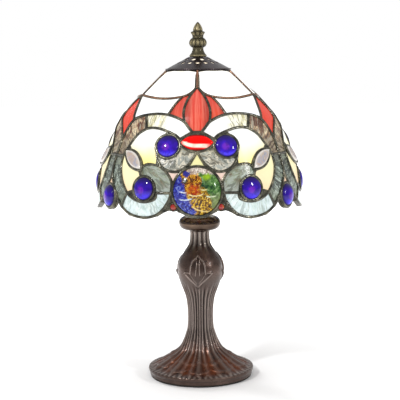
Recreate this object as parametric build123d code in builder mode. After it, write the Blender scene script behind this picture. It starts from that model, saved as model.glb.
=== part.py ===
from build123d import *
import math
import os

# A leaded-glass accent lamp: a ribbed cast foot, a spider of pipe, saddle, harp and
# stud inside, and a domed shade of foiled glass under a vase cap and a finial.
# Millimetres, +Z up, origin at the middle of the felt's underside, front at -Y.
os.makedirs("parts", exist_ok=True)

# --- Driving dimensions ---------------------------------------------------------
total_height = 354.0
felt_thick = 1.5
foot_radius = 53.0
casting_wall = 2.7
pipe_radius = 4.8
pipe_bore_radius = 3.6
stud_radius = 3.1
running_gap = 0.06
wire_radius = 1.5
glass_outside = -0.4
glass_inside = -3.0
lead_outside = 0.4
lead_inside = -3.8
half_lead = 1.25
ring_lead = 2.2
sector = 60.0

# --- Levels on the axis ---------------------------------------------------------
plate_top = 13.2
plate_thick = 1.2
plate_radius = 35.0
neck_top = 148.3
collar_top = 161.6
saddle_thick = 1.6
socket_bottom = 166.0
cap_seat = 320.0
cap_sheet = 1.0
stud_top = 332.0

# --- Shade profile: (radius, height) of the outer face, top to bottom ------------
shade_profile = [
    (31.5, 308.5), (59.0, 283.0), (74.4, 266.0), (79.8, 255.5), (85.2, 241.5),
    (91.2, 226.5), (94.4, 216.5), (97.4, 202.0), (99.8, 180.0), (100.2, 164.0),
]


# --- Shade surface ---------------------------------------------------------------
def profile_slope(index):
    """Slope of the profile at a knot, taken across its two neighbours."""
    above = shade_profile[max(index - 1, 0)]
    below = shade_profile[min(index + 1, len(shade_profile) - 1)]
    return (below[0] - above[0]) / (below[1] - above[1])


def profile_radius(height):
    """Mean radius of the shade at a height, as a smooth curve through the knots."""
    index = 0
    while index < len(shade_profile) - 2 and height < shade_profile[index + 1][1]:
        index += 1
    (r0, z0), (r1, z1) = shade_profile[index], shade_profile[index + 1]
    span = z1 - z0
    t = (height - z0) / span
    blend = 3 * t**2 - 2 * t**3
    rise = (t**3 - 2 * t**2 + t) * span * profile_slope(index)
    fall = (t**3 - t**2) * span * profile_slope(index + 1)
    return r0 + (r1 - r0) * blend + rise + fall


def shade_point(angle, height):
    """Point of the outer face: six flat crowns at the top, nearly round below."""
    t = min(max((height - 240.0) / 43.0, 0.0), 1.0)
    corner = 0.065 * t * t * (3 - 2 * t) - 0.015
    radius = profile_radius(height) * (1 + corner * math.cos(math.radians(6 * angle)))
    turn = math.radians(angle)
    return Vector(radius * math.sin(turn), -radius * math.cos(turn), height)


def shade_normal(angle, height):
    across = shade_point(angle + 0.2, height) - shade_point(angle - 0.2, height)
    along = shade_point(angle, height + 0.2) - shade_point(angle, height - 0.2)
    return across.cross(along).normalized()


def shade_plane(angle, height, turn=0.0):
    """Plane that touches the shade, with its x axis turned up from the level."""
    normal = shade_normal(angle, height)
    level = Vector(math.cos(math.radians(angle)), math.sin(math.radians(angle)), 0)
    rising = normal.cross(level)
    along = level * math.cos(math.radians(turn)) + rising * math.sin(math.radians(turn))
    return Plane(shade_point(angle, height), x_dir=along, z_dir=normal)


def curved_sheet(inside, outside, first=-14.0, last=74.0):
    """Closed sheet of the shade between two offsets of its outer face."""
    columns = [first + (last - first) * i / 22 for i in range(23)]
    rows = [168.0 + 140.5 * j / 19 for j in range(20)]

    def skin(offset_by):
        grid = [
            [shade_point(a, z) + shade_normal(a, z) * offset_by for a in columns] for z in rows
        ]
        return Face.make_surface_from_array_of_points(grid, tol=0.02)

    outer, inner = skin(outside), skin(inside)
    walls = []
    for edge in outer.edges():
        partner = min(inner.edges(), key=lambda other: (other @ 0.5 - edge @ 0.5).length)
        walls.append(Face.make_surface_from_curves(edge, partner))
    return Solid(Shell([outer, inner] + walls))


# --- Leading: one half of a motif, from the front (0) to the next rim jewel (60) ---
# Each line is a run of (angle, height) points that a smooth curve passes through.
lead = {
    "seam_front": [(0.4, 306.5), (1.1, 290.2)],
    "seam_side": [(60, 306.5), (60, 283.7)],
    "arc_start": [(1.1, 290.2), (4.9, 286.4), (9.0, 283.8)],
    "arc_front": [(9.0, 283.8), (13, 282.4)],
    "arc_side": [(13, 282.4), (24, 280.8), (37.6, 280.6), (50.2, 282.2), (60, 283.7)],
    "petal_edge": [(1.1, 290.2), (5.8, 283.7), (8.9, 276), (9.6, 268), (8.4, 259.5)],
    "tulip_outer": [(13, 282.4), (18.3, 275.2), (21.6, 266)],
    "side_petal": [(60, 283.7), (55.6, 276.5), (52.7, 269), (50.6, 260.6)],
    "out_tip": [(2.9, 250.2), (5.6, 254.8), (8.4, 259.5)],
    "out_tulip": [(8.4, 259.5), (14.5, 263.6), (21.6, 266)],
    "out_white": [(21.6, 266), (31, 266.8), (40.3, 265.6)],
    "out_shoulder": [(40.3, 265.6), (45.9, 263.8), (50.6, 260.6)],
    "out_side": [(50.6, 260.6), (56, 252), (60, 241)],
    "out_upright": [(60, 241), (60, 227.5)],
    "out_lower": [(60, 227.5), (60, 213)],
    "out_hip": [(60, 213), (58.4, 204.5), (54.7, 196), (50.1, 187.2), (46.2, 180.8)],
    "out_lobe": [(46.2, 180.8), (38.8, 174.4), (29, 172.2), (21.8, 175.4), (17.6, 182)],
    "out_hook": [(17.6, 182), (15, 189.5), (14.2, 195.5)],
    "in_front": [(10.8, 243.8), (13.5, 247.4), (18.5, 250.6)],
    "in_top": [(18.5, 250.6), (25, 253.2), (31, 254.0), (35.8, 253)],
    "in_shoulder": [(35.8, 253), (42.6, 247), (48.6, 235.5)],
    "in_side": [(48.6, 235.5), (51.0, 227.5)],
    "in_hip": [(51.0, 227.5), (50.7, 217), (47.4, 205), (41.9, 193.8)],
    "in_lobe": [(41.9, 193.8), (36.3, 188.6), (29.5, 186.6), (23.3, 189.6), (22.6, 195.2)],
    "join_top": [(40.3, 265.6), (35.8, 253)],
    "join_side": [(60, 227.5), (51.0, 227.5)],
    "join_hip": [(46.2, 180.8), (41.9, 193.8)],
    "join_hook": [(14.2, 195.5), (22.6, 195.2)],
    "curl_low": [(0, 233), (3.2, 224.3), (8, 217), (13.6, 214.6), (19.4, 218.2), (23, 225.2)],
    "curl_up": [(23, 225.2), (24.4, 234), (22.6, 243.5), (18.5, 250.6)],
    "hook_rise": [(14.2, 195.5), (14.0, 206), (17.8, 215.4), (23.0, 220.3)],
    "hook_top": [(23.0, 220.3), (28.8, 221.2), (32.4, 218.0), (33.4, 212.5)],
}

# --- Jewels: (angle, height, half length, half width, turn, dome) -----------------
jewel_seat = {
    "red_navette": (0, 240.8, 15.2, 7.5, 0, 4.5),
    "upper_jewel": (17.9, 237.5, 10.3, 10.3, 0, 3.9),
    "lower_jewel": (29.9, 198.8, 10.3, 10.3, 0, 3.9),
    "rim_jewel": (60, 188.5, 10.3, 10.3, 0, 5.0),
    "globe_jewel": (0, 197.2, 21.6, 21.6, 0, 9.0),
    "bead_jewel": (12.7, 182.7, 2.8, 2.8, 0, 2.2),
    "clear_marquise": (40.1, 224.6, 15.6, 5.7, 34, 2.6),
}
girdle_inside = -3.3
girdle_outside = 0.3


def smooth(points, steps=3):
    """Points along a Catmull-Rom curve through the given ones."""
    if len(points) == 2:
        return points
    ends = [points[0]] + points + [points[-1]]
    result = []
    for p0, p1, p2, p3 in zip(ends, ends[1:], ends[2:], ends[3:]):
        for step in range(steps):
            t = step / steps
            result.append(tuple(
                0.5 * (2 * b + (c - a) * t + (2 * a - 5 * b + 4 * c - d) * t * t
                       + (3 * b - a - 3 * c + d) * t**3)
                for a, b, c, d in zip(p0, p1, p2, p3)
            ))
    return result + [points[-1]]


def outline(*names):
    """Closed run of points along named leads; a minus sign walks one backwards."""
    points = []
    for name in names:
        if isinstance(name, tuple):
            run = [name]
        else:
            run = smooth(lead[name.lstrip("-")])
            run = run[::-1] if name[0] == "-" else run
        points += [point for point in run if point not in points]
    return points


def both_sides(points, middle=0.0):
    """The run and its mirror image about an upright line, as one closed run."""
    return points + [(2 * middle - a, z) for a, z in reversed(points) if a != middle]


def facing_plane(points):
    """Plane through a closed run of points that faces the way the glass does."""
    spots = [shade_point(a, z) for a, z in points]
    centre = sum(spots, Vector()) / len(spots)
    normal = Vector()
    for spot, following in zip(spots, spots[1:] + spots[:1]):
        normal += (spot - centre).cross(following - centre)
    if normal.dot(Vector(centre.X, centre.Y, 0)) < 0:
        normal = normal * -1
    return Plane(centre, z_dir=normal)


def flat_run(points, plane):
    local = [plane.to_local_coords(shade_point(a, z)) for a, z in points]
    return [(spot.X, spot.Y) for spot in local]


def jewel_sketch(half_length, half_width):
    """Circle, or where two circles cross in two points, in the current sketch."""
    if half_length == half_width:
        Circle(half_length)
        return
    arc = (half_length**2 + half_width**2) / (2 * half_width)
    with Locations((0, half_width - arc)):
        Circle(arc)
    with Locations((0, arc - half_width)):
        Circle(arc, mode=Mode.INTERSECT)


def jewel_block(name, margin=0.0, reach=9.0):
    """Straight-sided block around a jewel's edge, as wide as the margin outside it."""
    angle, height, half_length, half_width, turn, _ = jewel_seat[name]
    grow = margin if half_length == half_width else margin * 1.5
    with BuildPart() as block:
        with BuildSketch(shade_plane(angle, height, turn)):
            jewel_sketch(half_length + grow, half_width + margin)
        extrude(amount=reach, both=True)
    return block.part


def opening(points, seats=(), inset=half_lead, reach=9.0):
    """Block that fills one opening in the leading, less the rings of its jewels."""
    plane = facing_plane(points)
    with BuildPart() as block:
        with BuildSketch(plane):
            with BuildLine():
                Polyline(*flat_run(points, plane), close=True)
            make_face()
            offset(amount=-inset, kind=Kind.INTERSECTION, mode=Mode.REPLACE)
        extrude(amount=reach, both=True)
        for seat in seats:
            add(jewel_block(seat, ring_lead, 14.0), mode=Mode.SUBTRACT)
    return block.part


# --- Openings: what each pane's outline follows, and the jewels it meets -----------
openings = {
    "white_panel": opening(outline(
        (0.4, 306.5), (60, 306.5), "seam_side", "-arc_side", "-arc_front", "-arc_start",
        (1.1, 290.2))),
    "white_shoulder": opening(outline(
        "arc_side", "side_petal", "-out_shoulder", "-out_white", "-tulip_outer")),
    "tulip_petal": opening(both_sides(outline(
        "petal_edge", "-out_tip", (2.9, 250.2))), ["red_navette"], 1.1),
    "tulip_side": opening(outline(
        "arc_start", "arc_front", "tulip_outer", "-out_tulip", "-petal_edge")),
    "single_petal": opening(both_sides(outline("side_petal", "out_side", (60, 241)), 60)),
    "cream_band": opening(outline(
        "out_tip", "out_tulip", "out_white", "join_top", "-in_top", "-in_front",
        (10.8, 243.8)), ["red_navette", "upper_jewel"]),
    "amber_band": opening(outline(
        "out_shoulder", "out_side", "out_upright", "join_side", "-in_side", "-in_shoulder",
        "-join_top")),
    "grey_band": opening(outline("out_lower", "out_hip", "join_hip", "-in_hip", "-join_side")),
    "blue_band": opening(outline(
        "out_lobe", "out_hook", "join_hook", "-in_lobe", "-join_hip"), ["lower_jewel"]),
    "green_hook": opening(outline(
        "hook_rise", "hook_top", (33.4, 212.5), (28.5, 199), "-join_hook"), ["lower_jewel"]),
    "yellow_heart": opening(outline(
        "in_top", "in_shoulder", (48.6, 235.5), (46.8, 235.6), (33.4, 213.6), "-hook_top",
        (23.0, 220.3), "curl_up"), ["clear_marquise", "upper_jewel"]),
    "cream_heart": opening(outline(
        "in_side", "in_hip", (41.9, 193.8), (30.0, 199.0), (33.4, 213.6), (46.8, 235.6)),
        ["clear_marquise", "lower_jewel"]),
    "ripple_scroll": opening(outline(
        "curl_low", (23, 225.2), (17.9, 237.5), (2.0, 239.0)), ["upper_jewel", "red_navette"]),
    "cream_wedge": opening(both_sides([(0, 232.0), (5.2, 218.0)]), ["globe_jewel"], 0.9),
    "peach_wedge": opening([(8.2, 216.8), (17.2, 215.6), (13.3, 202.4)], ["globe_jewel"], 1.1),
    "rim_wedge": opening(both_sides([(60, 214.0), (55.6, 199.0)], 60), ["rim_jewel"], 1.1),
}


# --- Shade: panes ------------------------------------------------------------------
def around(piece, mirrored):
    """Three copies about the axis, or six with their mirror images."""
    with BuildPart() as group:
        with PolarLocations(0, 3):
            add(piece)
        if mirrored:
            mirror(about=Plane.YZ)
    return group.part


centred = ["tulip_petal", "single_petal", "cream_wedge", "rim_wedge"]
glass_sheet = curved_sheet(glass_inside, glass_outside)

with BuildPart() as under_cap:
    with BuildSketch(Plane.XZ):
        with BuildLine():
            Polyline((0, 322), (0, 340), (44, 340), (44, 300.5), (32.6, 306.5), (25, 310.5),
                     (19, 313.7), close=True)
        make_face()
    revolve(axis=Axis.Z)

for name, block in openings.items():
    with BuildPart() as pane:
        add(glass_sheet)
        add(block, mode=Mode.INTERSECT)
        add(under_cap.part, mode=Mode.SUBTRACT)
    whole = pane.part.solids().sort_by(SortBy.VOLUME)[-1]
    with BuildPart() as pane_set:
        add(around(whole, name not in centred))
    pane_set.part.label = name
    export_step(pane_set.part, f"parts/{name}.step")

# --- Shade: leading, copper foil and solder in one piece ------------------------------
rim_edge = [
    (-2.6, 173.8), (0, 173.4), (4, 174.4), (8, 177.7), (10.4, 179.2), (12.7, 178.6), (15.2, 179.4),
    (18, 177.4), (21.3, 173.9), (29, 170.6), (39.2, 172.9), (46.9, 179.4), (50.9, 185.8),
    (52.7, 191.2), (53, 185.5), (54.6, 180.8), (57, 177.4), (60, 176), (62.6, 177),
]
rim_spans = [(-2.6, 12.7), (10.4, 21.3), (18, 39.2), (29, 46.9), (39.2, 52.7), (52.7, 62.6)]

with BuildPart() as half_leading:
    add(curved_sheet(lead_inside, lead_outside))
    with BuildSketch(Plane.XY.offset(160)):
        with BuildLine():
            Polyline((0, 0), (0, -160), (160 * math.sin(math.radians(sector)), -80), close=True)
        make_face()
    extrude(amount=160, mode=Mode.INTERSECT)
    add(under_cap.part, mode=Mode.SUBTRACT)
    for block in openings.values():
        add(block, mode=Mode.SUBTRACT)
    for name in jewel_seat:
        add(jewel_block(name), mode=Mode.SUBTRACT)
    for start, end in rim_spans:
        edge = [point for point in rim_edge if start <= point[0] <= end]
        below = edge + [(end + 1.2, 165.0), (start - 1.2, 165.0)]
        rim_plane = shade_plane((start + end) / 2, 180.0)
        with BuildSketch(rim_plane):
            with BuildLine():
                Polyline(*flat_run(below, rim_plane), close=True)
            make_face()
        extrude(amount=30, both=True, mode=Mode.SUBTRACT)

with BuildPart() as leading:
    add(around(half_leading.part, True))
leading.part.label = "leading"
export_step(leading.part, "parts/leading.step")

# --- Shade: jewels ------------------------------------------------------------------
for name, (angle, height, half_length, half_width, turn, dome) in jewel_seat.items():
    seat_plane = shade_plane(angle, height, turn)
    with BuildPart() as jewel:
        with BuildSketch(seat_plane.offset(girdle_inside)):
            jewel_sketch(half_length, half_width)
        extrude(amount=girdle_outside - girdle_inside)
        if half_length == half_width:
            ball = (half_length**2 + dome**2) / (2 * dome)
            with BuildSketch(Plane(seat_plane.origin, x_dir=seat_plane.x_dir,
                                   z_dir=-seat_plane.y_dir)):
                with BuildLine():
                    Polyline((0, girdle_outside + dome), (0, girdle_outside),
                             (half_length, girdle_outside))
                    RadiusArc((half_length, girdle_outside), (0, girdle_outside + dome), -ball)
                make_face()
            revolve(axis=Axis(seat_plane.origin, seat_plane.z_dir))
        else:
            with BuildSketch(seat_plane.offset(girdle_outside)):
                jewel_sketch(half_length, half_width)
            extrude(amount=dome, taper=40)
    with BuildPart() as jewel_set:
        add(around(jewel.part, angle not in (0, 60)))
    jewel_set.part.label = name
    export_step(jewel_set.part, f"parts/{name}.step")

# --- Shade: vase cap ------------------------------------------------------------------
with BuildPart() as vase_cap:
    with BuildSketch(Plane.XZ):
        with BuildLine():
            Polyline((31.7, 308.1), (25, 311.7), (19.2, 314.8), (17, 315.7), (12, 318.6),
                     (9.2, cap_seat), (stud_radius + 0.3, cap_seat),
                     (stud_radius + 0.3, cap_seat - cap_sheet), (8.9, cap_seat - cap_sheet),
                     (11.6, 317.6), (16.6, 314.7), (19, 313.8), (25, 310.7), (31.7, 307.1),
                     close=True)
        make_face()
        with Locations((31.7, 307.8)):
            Circle(0.8)
    revolve(axis=Axis.Z)
    with BuildSketch(Plane.XY.offset(300)):
        with PolarLocations(13.2, 10):
            Circle(2.3)
        with PolarLocations(19.8, 16):
            Circle(2.3)
    extrude(amount=30, mode=Mode.SUBTRACT)
    with BuildSketch(Plane.XZ):
        with BuildLine():
            Polyline((26, 300), (26, 310.066), (32.6, 306.592), (36, 304.8), (36, 300), close=True)
        make_face()
    revolve(axis=Axis.Z, mode=Mode.SUBTRACT)
vase_cap.part.label = "vase_cap"
export_step(vase_cap.part, "parts/vase_cap.step")

# --- Finial ------------------------------------------------------------------------------
with BuildPart() as finial:
    with BuildSketch(Plane.XZ):
        with BuildLine():
            Polyline((0, cap_seat), (8.3, cap_seat), (8.3, 321.4))
            Spline((8.3, 321.4), (6.5, 324.0), (5.3, 327.0), (5.6, 329.2))
            Spline((5.6, 329.2), (8.0, 331.0), (8.6, 333.6), (7.8, 336.4), (5.4, 338.6))
            Spline((5.4, 338.6), (5.5, 340.6), (6.9, 343.4))
            Polyline((6.9, 343.4), (5.0, 344.6))
            Spline((5.0, 344.6), (4.7, 347.2), (3.0, 351.2), (0, total_height))
            Line((0, total_height), (0, cap_seat))
        make_face()
    revolve(axis=Axis.Z)
    with Locations((0, 0, cap_seat)):
        Cylinder(stud_radius + running_gap, stud_top + 1.0 - cap_seat,
                 align=(Align.CENTER, Align.CENTER, Align.MIN), mode=Mode.SUBTRACT)
finial.part.label = "finial"
export_step(finial.part, "parts/finial.step")

# --- Harp: bow, swivel stud, saddle and ferrules --------------------------------------------
leg_spread = 26.0
leg_foot = 177.2
ear_height = 167.4
wing_start = 10.0
wing_end = 18.5
eye_top = 314.0
eye_radius = 7.0
neck_radius = 2.5

with BuildPart() as harp_bow:
    for side in (-1, 1):
        with BuildLine(Plane.XZ) as leg:
            FilletPolyline(
                (side * leg_spread, leg_foot), (side * leg_spread, 200.0), (side * 44, 228.0),
                (side * 44, 258.0), (side * 20, eye_top - wire_radius),
                (side * 4.5, eye_top - wire_radius), radius=[14.0, 18.0, 24.0, 12.0])
        with BuildSketch(Plane.XY.offset(leg_foot)):
            with Locations((side * leg_spread, 0)):
                Circle(wire_radius)
        sweep(path=leg.wires()[0])
    with BuildSketch(Plane.XY.offset(eye_top - 2 * wire_radius)):
        Circle(eye_radius)
    extrude(amount=2 * wire_radius)
    with BuildSketch(Plane.XY.offset(eye_top)):
        Circle(neck_radius + running_gap)
    extrude(amount=-4 * wire_radius, mode=Mode.SUBTRACT)
harp_bow.part.label = "harp_bow"
export_step(harp_bow.part, "parts/harp_bow.step")

with BuildPart() as swivel_stud:
    with BuildSketch(Plane.XZ):
        with BuildLine():
            Polyline((0, 308.6), (4.2, 308.6), (4.2, 310.9), (neck_radius, 310.9),
                     (neck_radius, eye_top + 0.1), (6.5, eye_top + 0.1),
                     (6.5, cap_seat - cap_sheet - 0.02), (stud_radius, cap_seat - cap_sheet - 0.02),
                     (stud_radius, stud_top - 0.8), (stud_radius - 0.8, stud_top), (0, stud_top),
                     close=True)
        make_face()
    revolve(axis=Axis.Z)
swivel_stud.part.label = "swivel_stud"
export_step(swivel_stud.part, "parts/swivel_stud.step")

pin_length = leg_foot - 0.2 - ear_height - saddle_thick
saddle_reach = leg_spread + 5.0
saddle_half_width = 5.0
with BuildPart() as harp_saddle:
    with BuildSketch(Plane.XZ):
        with BuildLine():
            Polyline((saddle_reach, ear_height), (wing_end, ear_height), (wing_start, collar_top),
                     (-wing_start, collar_top), (-wing_end, ear_height),
                     (-saddle_reach, ear_height), (-saddle_reach, ear_height + saddle_thick),
                     (-wing_end, ear_height + saddle_thick),
                     (-wing_start, collar_top + saddle_thick),
                     (wing_start, collar_top + saddle_thick), (wing_end, ear_height + saddle_thick),
                     (saddle_reach, ear_height + saddle_thick), close=True)
        make_face()
    extrude(amount=saddle_half_width, both=True)
    with BuildSketch(Plane.XY.offset(collar_top)):
        SlotOverall(2 * saddle_reach, 2 * saddle_half_width)
        Circle(pipe_radius + 0.1, mode=Mode.SUBTRACT)
    extrude(amount=ear_height, mode=Mode.INTERSECT)
    with BuildSketch(Plane.XY.offset(ear_height + saddle_thick)):
        with Locations((-leg_spread, 0), (leg_spread, 0)):
            Circle(wire_radius)
    extrude(amount=pin_length)
harp_saddle.part.label = "harp_saddle"
export_step(harp_saddle.part, "parts/harp_saddle.step")

ferrule_length = 13.0
for label, side in (("left_ferrule", -1), ("right_ferrule", 1)):
    with BuildPart() as ferrule:
        with BuildSketch(Plane.XY.offset(ear_height + saddle_thick + 0.1)):
            with Locations((side * leg_spread, 0)):
                Circle(3.2)
                Circle(wire_radius + running_gap, mode=Mode.SUBTRACT)
        extrude(amount=ferrule_length)
        chamfer(ferrule.edges().filter_by(GeomType.CIRCLE).group_by(SortBy.RADIUS)[-1], 0.5)
    ferrule.part.label = label
    export_step(ferrule.part, f"parts/{label}.step")

# --- Lampholder ---------------------------------------------------------------------------
holder_radius = 16.6
holder_top = 212.0

with BuildPart() as top_locknut:
    with BuildSketch(Plane.XY.offset(collar_top + saddle_thick)):
        RegularPolygon(7.5, 6, major_radius=False)
        Circle(pipe_radius, mode=Mode.SUBTRACT)
    extrude(amount=socket_bottom - collar_top - saddle_thick)
top_locknut.part.label = "top_locknut"
export_step(top_locknut.part, "parts/top_locknut.step")

with BuildPart() as socket_cap:
    with BuildSketch(Plane.XZ):
        with BuildLine():
            Polyline((pipe_radius, socket_bottom), (9, socket_bottom), (holder_radius + 0.7, 171),
                     (holder_radius + 0.7, 179), (holder_radius, 179), (holder_radius, 171.4),
                     (8.8, 166.8), (pipe_radius, 166.8), close=True)
        make_face()
    revolve(axis=Axis.Z)
socket_cap.part.label = "socket_cap"
export_step(socket_cap.part, "parts/socket_cap.step")

with BuildPart() as socket_shell:
    with BuildSketch(Plane.XY.offset(172)):
        Circle(holder_radius)
        Circle(holder_radius - 0.6, mode=Mode.SUBTRACT)
    extrude(amount=holder_top - 172)
    fillet(socket_shell.edges().group_by(Axis.Z)[-1].sort_by(SortBy.RADIUS)[-1], 0.25)
socket_shell.part.label = "socket_shell"
export_step(socket_shell.part, "parts/socket_shell.step")

with BuildPart() as socket_insulator:
    with BuildSketch(Plane.XY.offset(174)):
        Circle(holder_radius - 0.7)
        Circle(holder_radius - 1.4, mode=Mode.SUBTRACT)
    extrude(amount=holder_top - 175)
socket_insulator.part.label = "socket_insulator"
export_step(socket_insulator.part, "parts/socket_insulator.step")

with BuildPart() as socket_block:
    with BuildSketch(Plane.XY.offset(175)):
        Circle(holder_radius - 1.5)
    extrude(amount=9)
    with BuildSketch(Plane.XY.offset(175)):
        with Locations((-9, 0), (9, 0)):
            Circle(2.2)
    extrude(amount=9, mode=Mode.SUBTRACT)
socket_block.part.label = "socket_block"
export_step(socket_block.part, "parts/socket_block.step")

with BuildPart() as socket_screws:
    with BuildSketch(Plane.XY.offset(175)):
        with Locations((-9, 0), (9, 0)):
            Circle(2.1)
    extrude(amount=8.8)
socket_screws.part.label = "socket_screws"
export_step(socket_screws.part, "parts/socket_screws.step")

bulb_thread = 13.0
with BuildPart() as screw_shell:
    with BuildSketch(Plane.XZ):
        with BuildLine():
            Polyline((6, 184), (bulb_thread + 0.9, 184), (bulb_thread + 0.9, 210),
                     (bulb_thread + running_gap, 210), (bulb_thread + running_gap, 184.6),
                     (6, 184.6), close=True)
        make_face()
    revolve(axis=Axis.Z)
screw_shell.part.label = "screw_shell"
export_step(screw_shell.part, "parts/screw_shell.step")

with BuildPart() as centre_contact:
    with BuildSketch(Plane.XY.offset(184)):
        Rectangle(8, 4)
    extrude(amount=0.6)
    with BuildSketch(Plane.XY.offset(184.6)):
        Circle(1.8)
    extrude(amount=1.6)
centre_contact.part.label = "centre_contact"
export_step(centre_contact.part, "parts/centre_contact.step")

# --- Bulb --------------------------------------------------------------------------------
bulb_glass_radius = 24.0
with BuildPart() as bulb_cap:
    with BuildSketch(Plane.XZ):
        with BuildLine():
            Polyline((3.4, 188.6), (bulb_thread - 1.2, 190.4), (bulb_thread, 192.4),
                     (bulb_thread, 213.4), (bulb_thread - 0.6, 213.4), (bulb_thread - 0.6, 192.6),
                     (3.4, 189.4), close=True)
        make_face()
    revolve(axis=Axis.Z)
bulb_cap.part.label = "bulb_cap"
export_step(bulb_cap.part, "parts/bulb_cap.step")

with BuildPart() as bulb_tip:
    with BuildSketch(Plane.XZ):
        with BuildLine():
            Polyline((0, 186.3), (2.6, 186.3), (3.3, 187.2), (3.3, 190.4), (0, 190.4), close=True)
        make_face()
    revolve(axis=Axis.Z)
bulb_tip.part.label = "bulb_tip"
export_step(bulb_tip.part, "parts/bulb_tip.step")

with BuildPart() as bulb_glass:
    with BuildSketch(Plane.XZ):
        with BuildLine():
            Line((0, 276), (0, 275.2))
            Spline((0, 275.2), (23.2, 252), (16, 232), (11.3, 213), (11.3, 206),
                   tangents=[(1, 0), (0, -1)])
            Line((11.3, 206), (12.2, 206))
            Spline((12.2, 206), (12.2, 213), (16.8, 232), (bulb_glass_radius, 252), (0, 276),
                   tangents=[(0, 1), (-1, 0)])
        make_face()
    revolve(axis=Axis.Z)
bulb_glass.part.label = "bulb_glass"
export_step(bulb_glass.part, "parts/bulb_glass.step")

with BuildPart() as bulb_stem:
    with BuildSketch(Plane.XZ):
        with BuildLine():
            Polyline((0, 196), (3.4, 196), (3.4, 222), (2.0, 234), (1.4, 244), (0, 244), close=True)
        make_face()
    revolve(axis=Axis.Z)
bulb_stem.part.label = "bulb_stem"
export_step(bulb_stem.part, "parts/bulb_stem.step")

with BuildPart() as bulb_filament:
    with BuildSketch(Plane.YZ.offset(-11)):
        with Locations((0, 248)):
            Circle(0.5)
    extrude(amount=22)
    with BuildSketch(Plane.XY.offset(236)):
        with Locations((-9, 0), (9, 0)):
            Circle(0.35)
    extrude(amount=12)
    with BuildSketch(Plane.XY.offset(236)):
        Rectangle(18.7, 0.7)
        Circle(2.1, mode=Mode.SUBTRACT)
    extrude(amount=0.7)
bulb_filament.part.label = "bulb_filament"
export_step(bulb_filament.part, "parts/bulb_filament.step")

# --- Foot: casting, collar, pipe and the fixings under it ------------------------------------
cord_height = 5.2
bushing_radius = 2.8
cord_radius = 2.1

with BuildPart() as base_casting:
    with BuildSketch(Plane.XZ):
        with BuildLine():
            Polyline((5.1, neck_top - 1.3), (10.6, neck_top - 1.3))
            Spline((10.6, neck_top - 1.3), (9.6, 143.5), (11, 134.3), (15.9, 126.1), (21.1, 116.7),
                   (22.9, 107.4), (21.7, 99.1), (17.7, 88.5), (14.8, 80.3), (13.2, 70.8),
                   (12.7, 60.2), (13.2, 49.5), (14.9, 42.4), (18.1, 34.0), (24, 25.6),
                   (36.5, 17.2), (44.6, 12.9), (50.2, 9.6))
            Polyline((50.2, 9.6), (52.4, 9.0), (foot_radius, 7.8), (foot_radius, 6.0), (51.8, 4.6),
                     (51.8, felt_thick), (48.6, felt_thick), (48.6, 6.6), (44.6, 10.1),
                     (36.5, 14.2), (35.6, plate_top), (31, plate_top), (31, 16.8))
            Spline((31, 16.8), (24, 21.7), (18.4, 27.5), (14.6, 35), (12, 43), (10.4, 50),
                   (10, 60.2), (10.5, 70.8), (12.1, 80.6), (15, 89.5), (19, 99.6), (20.1, 107.4),
                   (18.3, 116), (13, 125), (8, 132), (5.1, 136))
            Line((5.1, 136), (5.1, neck_top - 1.3))
        make_face()
    revolve(axis=Axis.Z)
    with BuildSketch(Plane.XZ.offset(-60)):
        with Locations((0, cord_height)):
            Circle(bushing_radius)
    extrude(amount=20, mode=Mode.SUBTRACT)
base_casting.part.label = "base_casting"
export_step(base_casting.part, "parts/base_casting.step")

with BuildPart() as neck_collar:
    with BuildSketch(Plane.XZ):
        with BuildLine():
            Polyline((5.1, collar_top), (5.1, neck_top - 1.3), (10.6, neck_top - 1.3), (12, 148.8))
            ThreePointArc((12, 148.8), (20.9, 155.4), (15, collar_top))
            Line((15, collar_top), (5.1, collar_top))
        make_face()
    revolve(axis=Axis.Z)
neck_collar.part.label = "neck_collar"
export_step(neck_collar.part, "parts/neck_collar.step")

pipe_foot = 6.5
with BuildPart() as lamp_pipe:
    with BuildSketch(Plane.XY.offset(pipe_foot)):
        Circle(pipe_radius)
        Circle(pipe_bore_radius, mode=Mode.SUBTRACT)
    extrude(amount=172 - pipe_foot)
lamp_pipe.part.label = "lamp_pipe"
export_step(lamp_pipe.part, "parts/lamp_pipe.step")

with BuildPart() as bottom_plate:
    with BuildSketch(Plane.XY.offset(plate_top - plate_thick)):
        Circle(plate_radius)
        Circle(pipe_radius + 0.1, mode=Mode.SUBTRACT)
    extrude(amount=plate_thick)
bottom_plate.part.label = "bottom_plate"
export_step(bottom_plate.part, "parts/bottom_plate.step")

washer_thick = 1.2
with BuildPart() as bottom_washer:
    with BuildSketch(Plane.XY.offset(plate_top - plate_thick - washer_thick)):
        Circle(10)
        Circle(pipe_radius + 0.1, mode=Mode.SUBTRACT)
    extrude(amount=washer_thick)
bottom_washer.part.label = "bottom_washer"
export_step(bottom_washer.part, "parts/bottom_washer.step")

with BuildPart() as bottom_locknut:
    with BuildSketch(Plane.XY.offset(plate_top - plate_thick - washer_thick)):
        RegularPolygon(7.5, 6, major_radius=False)
        Circle(pipe_radius, mode=Mode.SUBTRACT)
    extrude(amount=-3.2)
bottom_locknut.part.label = "bottom_locknut"
export_step(bottom_locknut.part, "parts/bottom_locknut.step")

with BuildPart() as felt_pad:
    with BuildSketch(Plane.XY):
        Circle(51.0)
    extrude(amount=felt_thick)
felt_pad.part.label = "felt_pad"
export_step(felt_pad.part, "parts/felt_pad.step")

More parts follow.
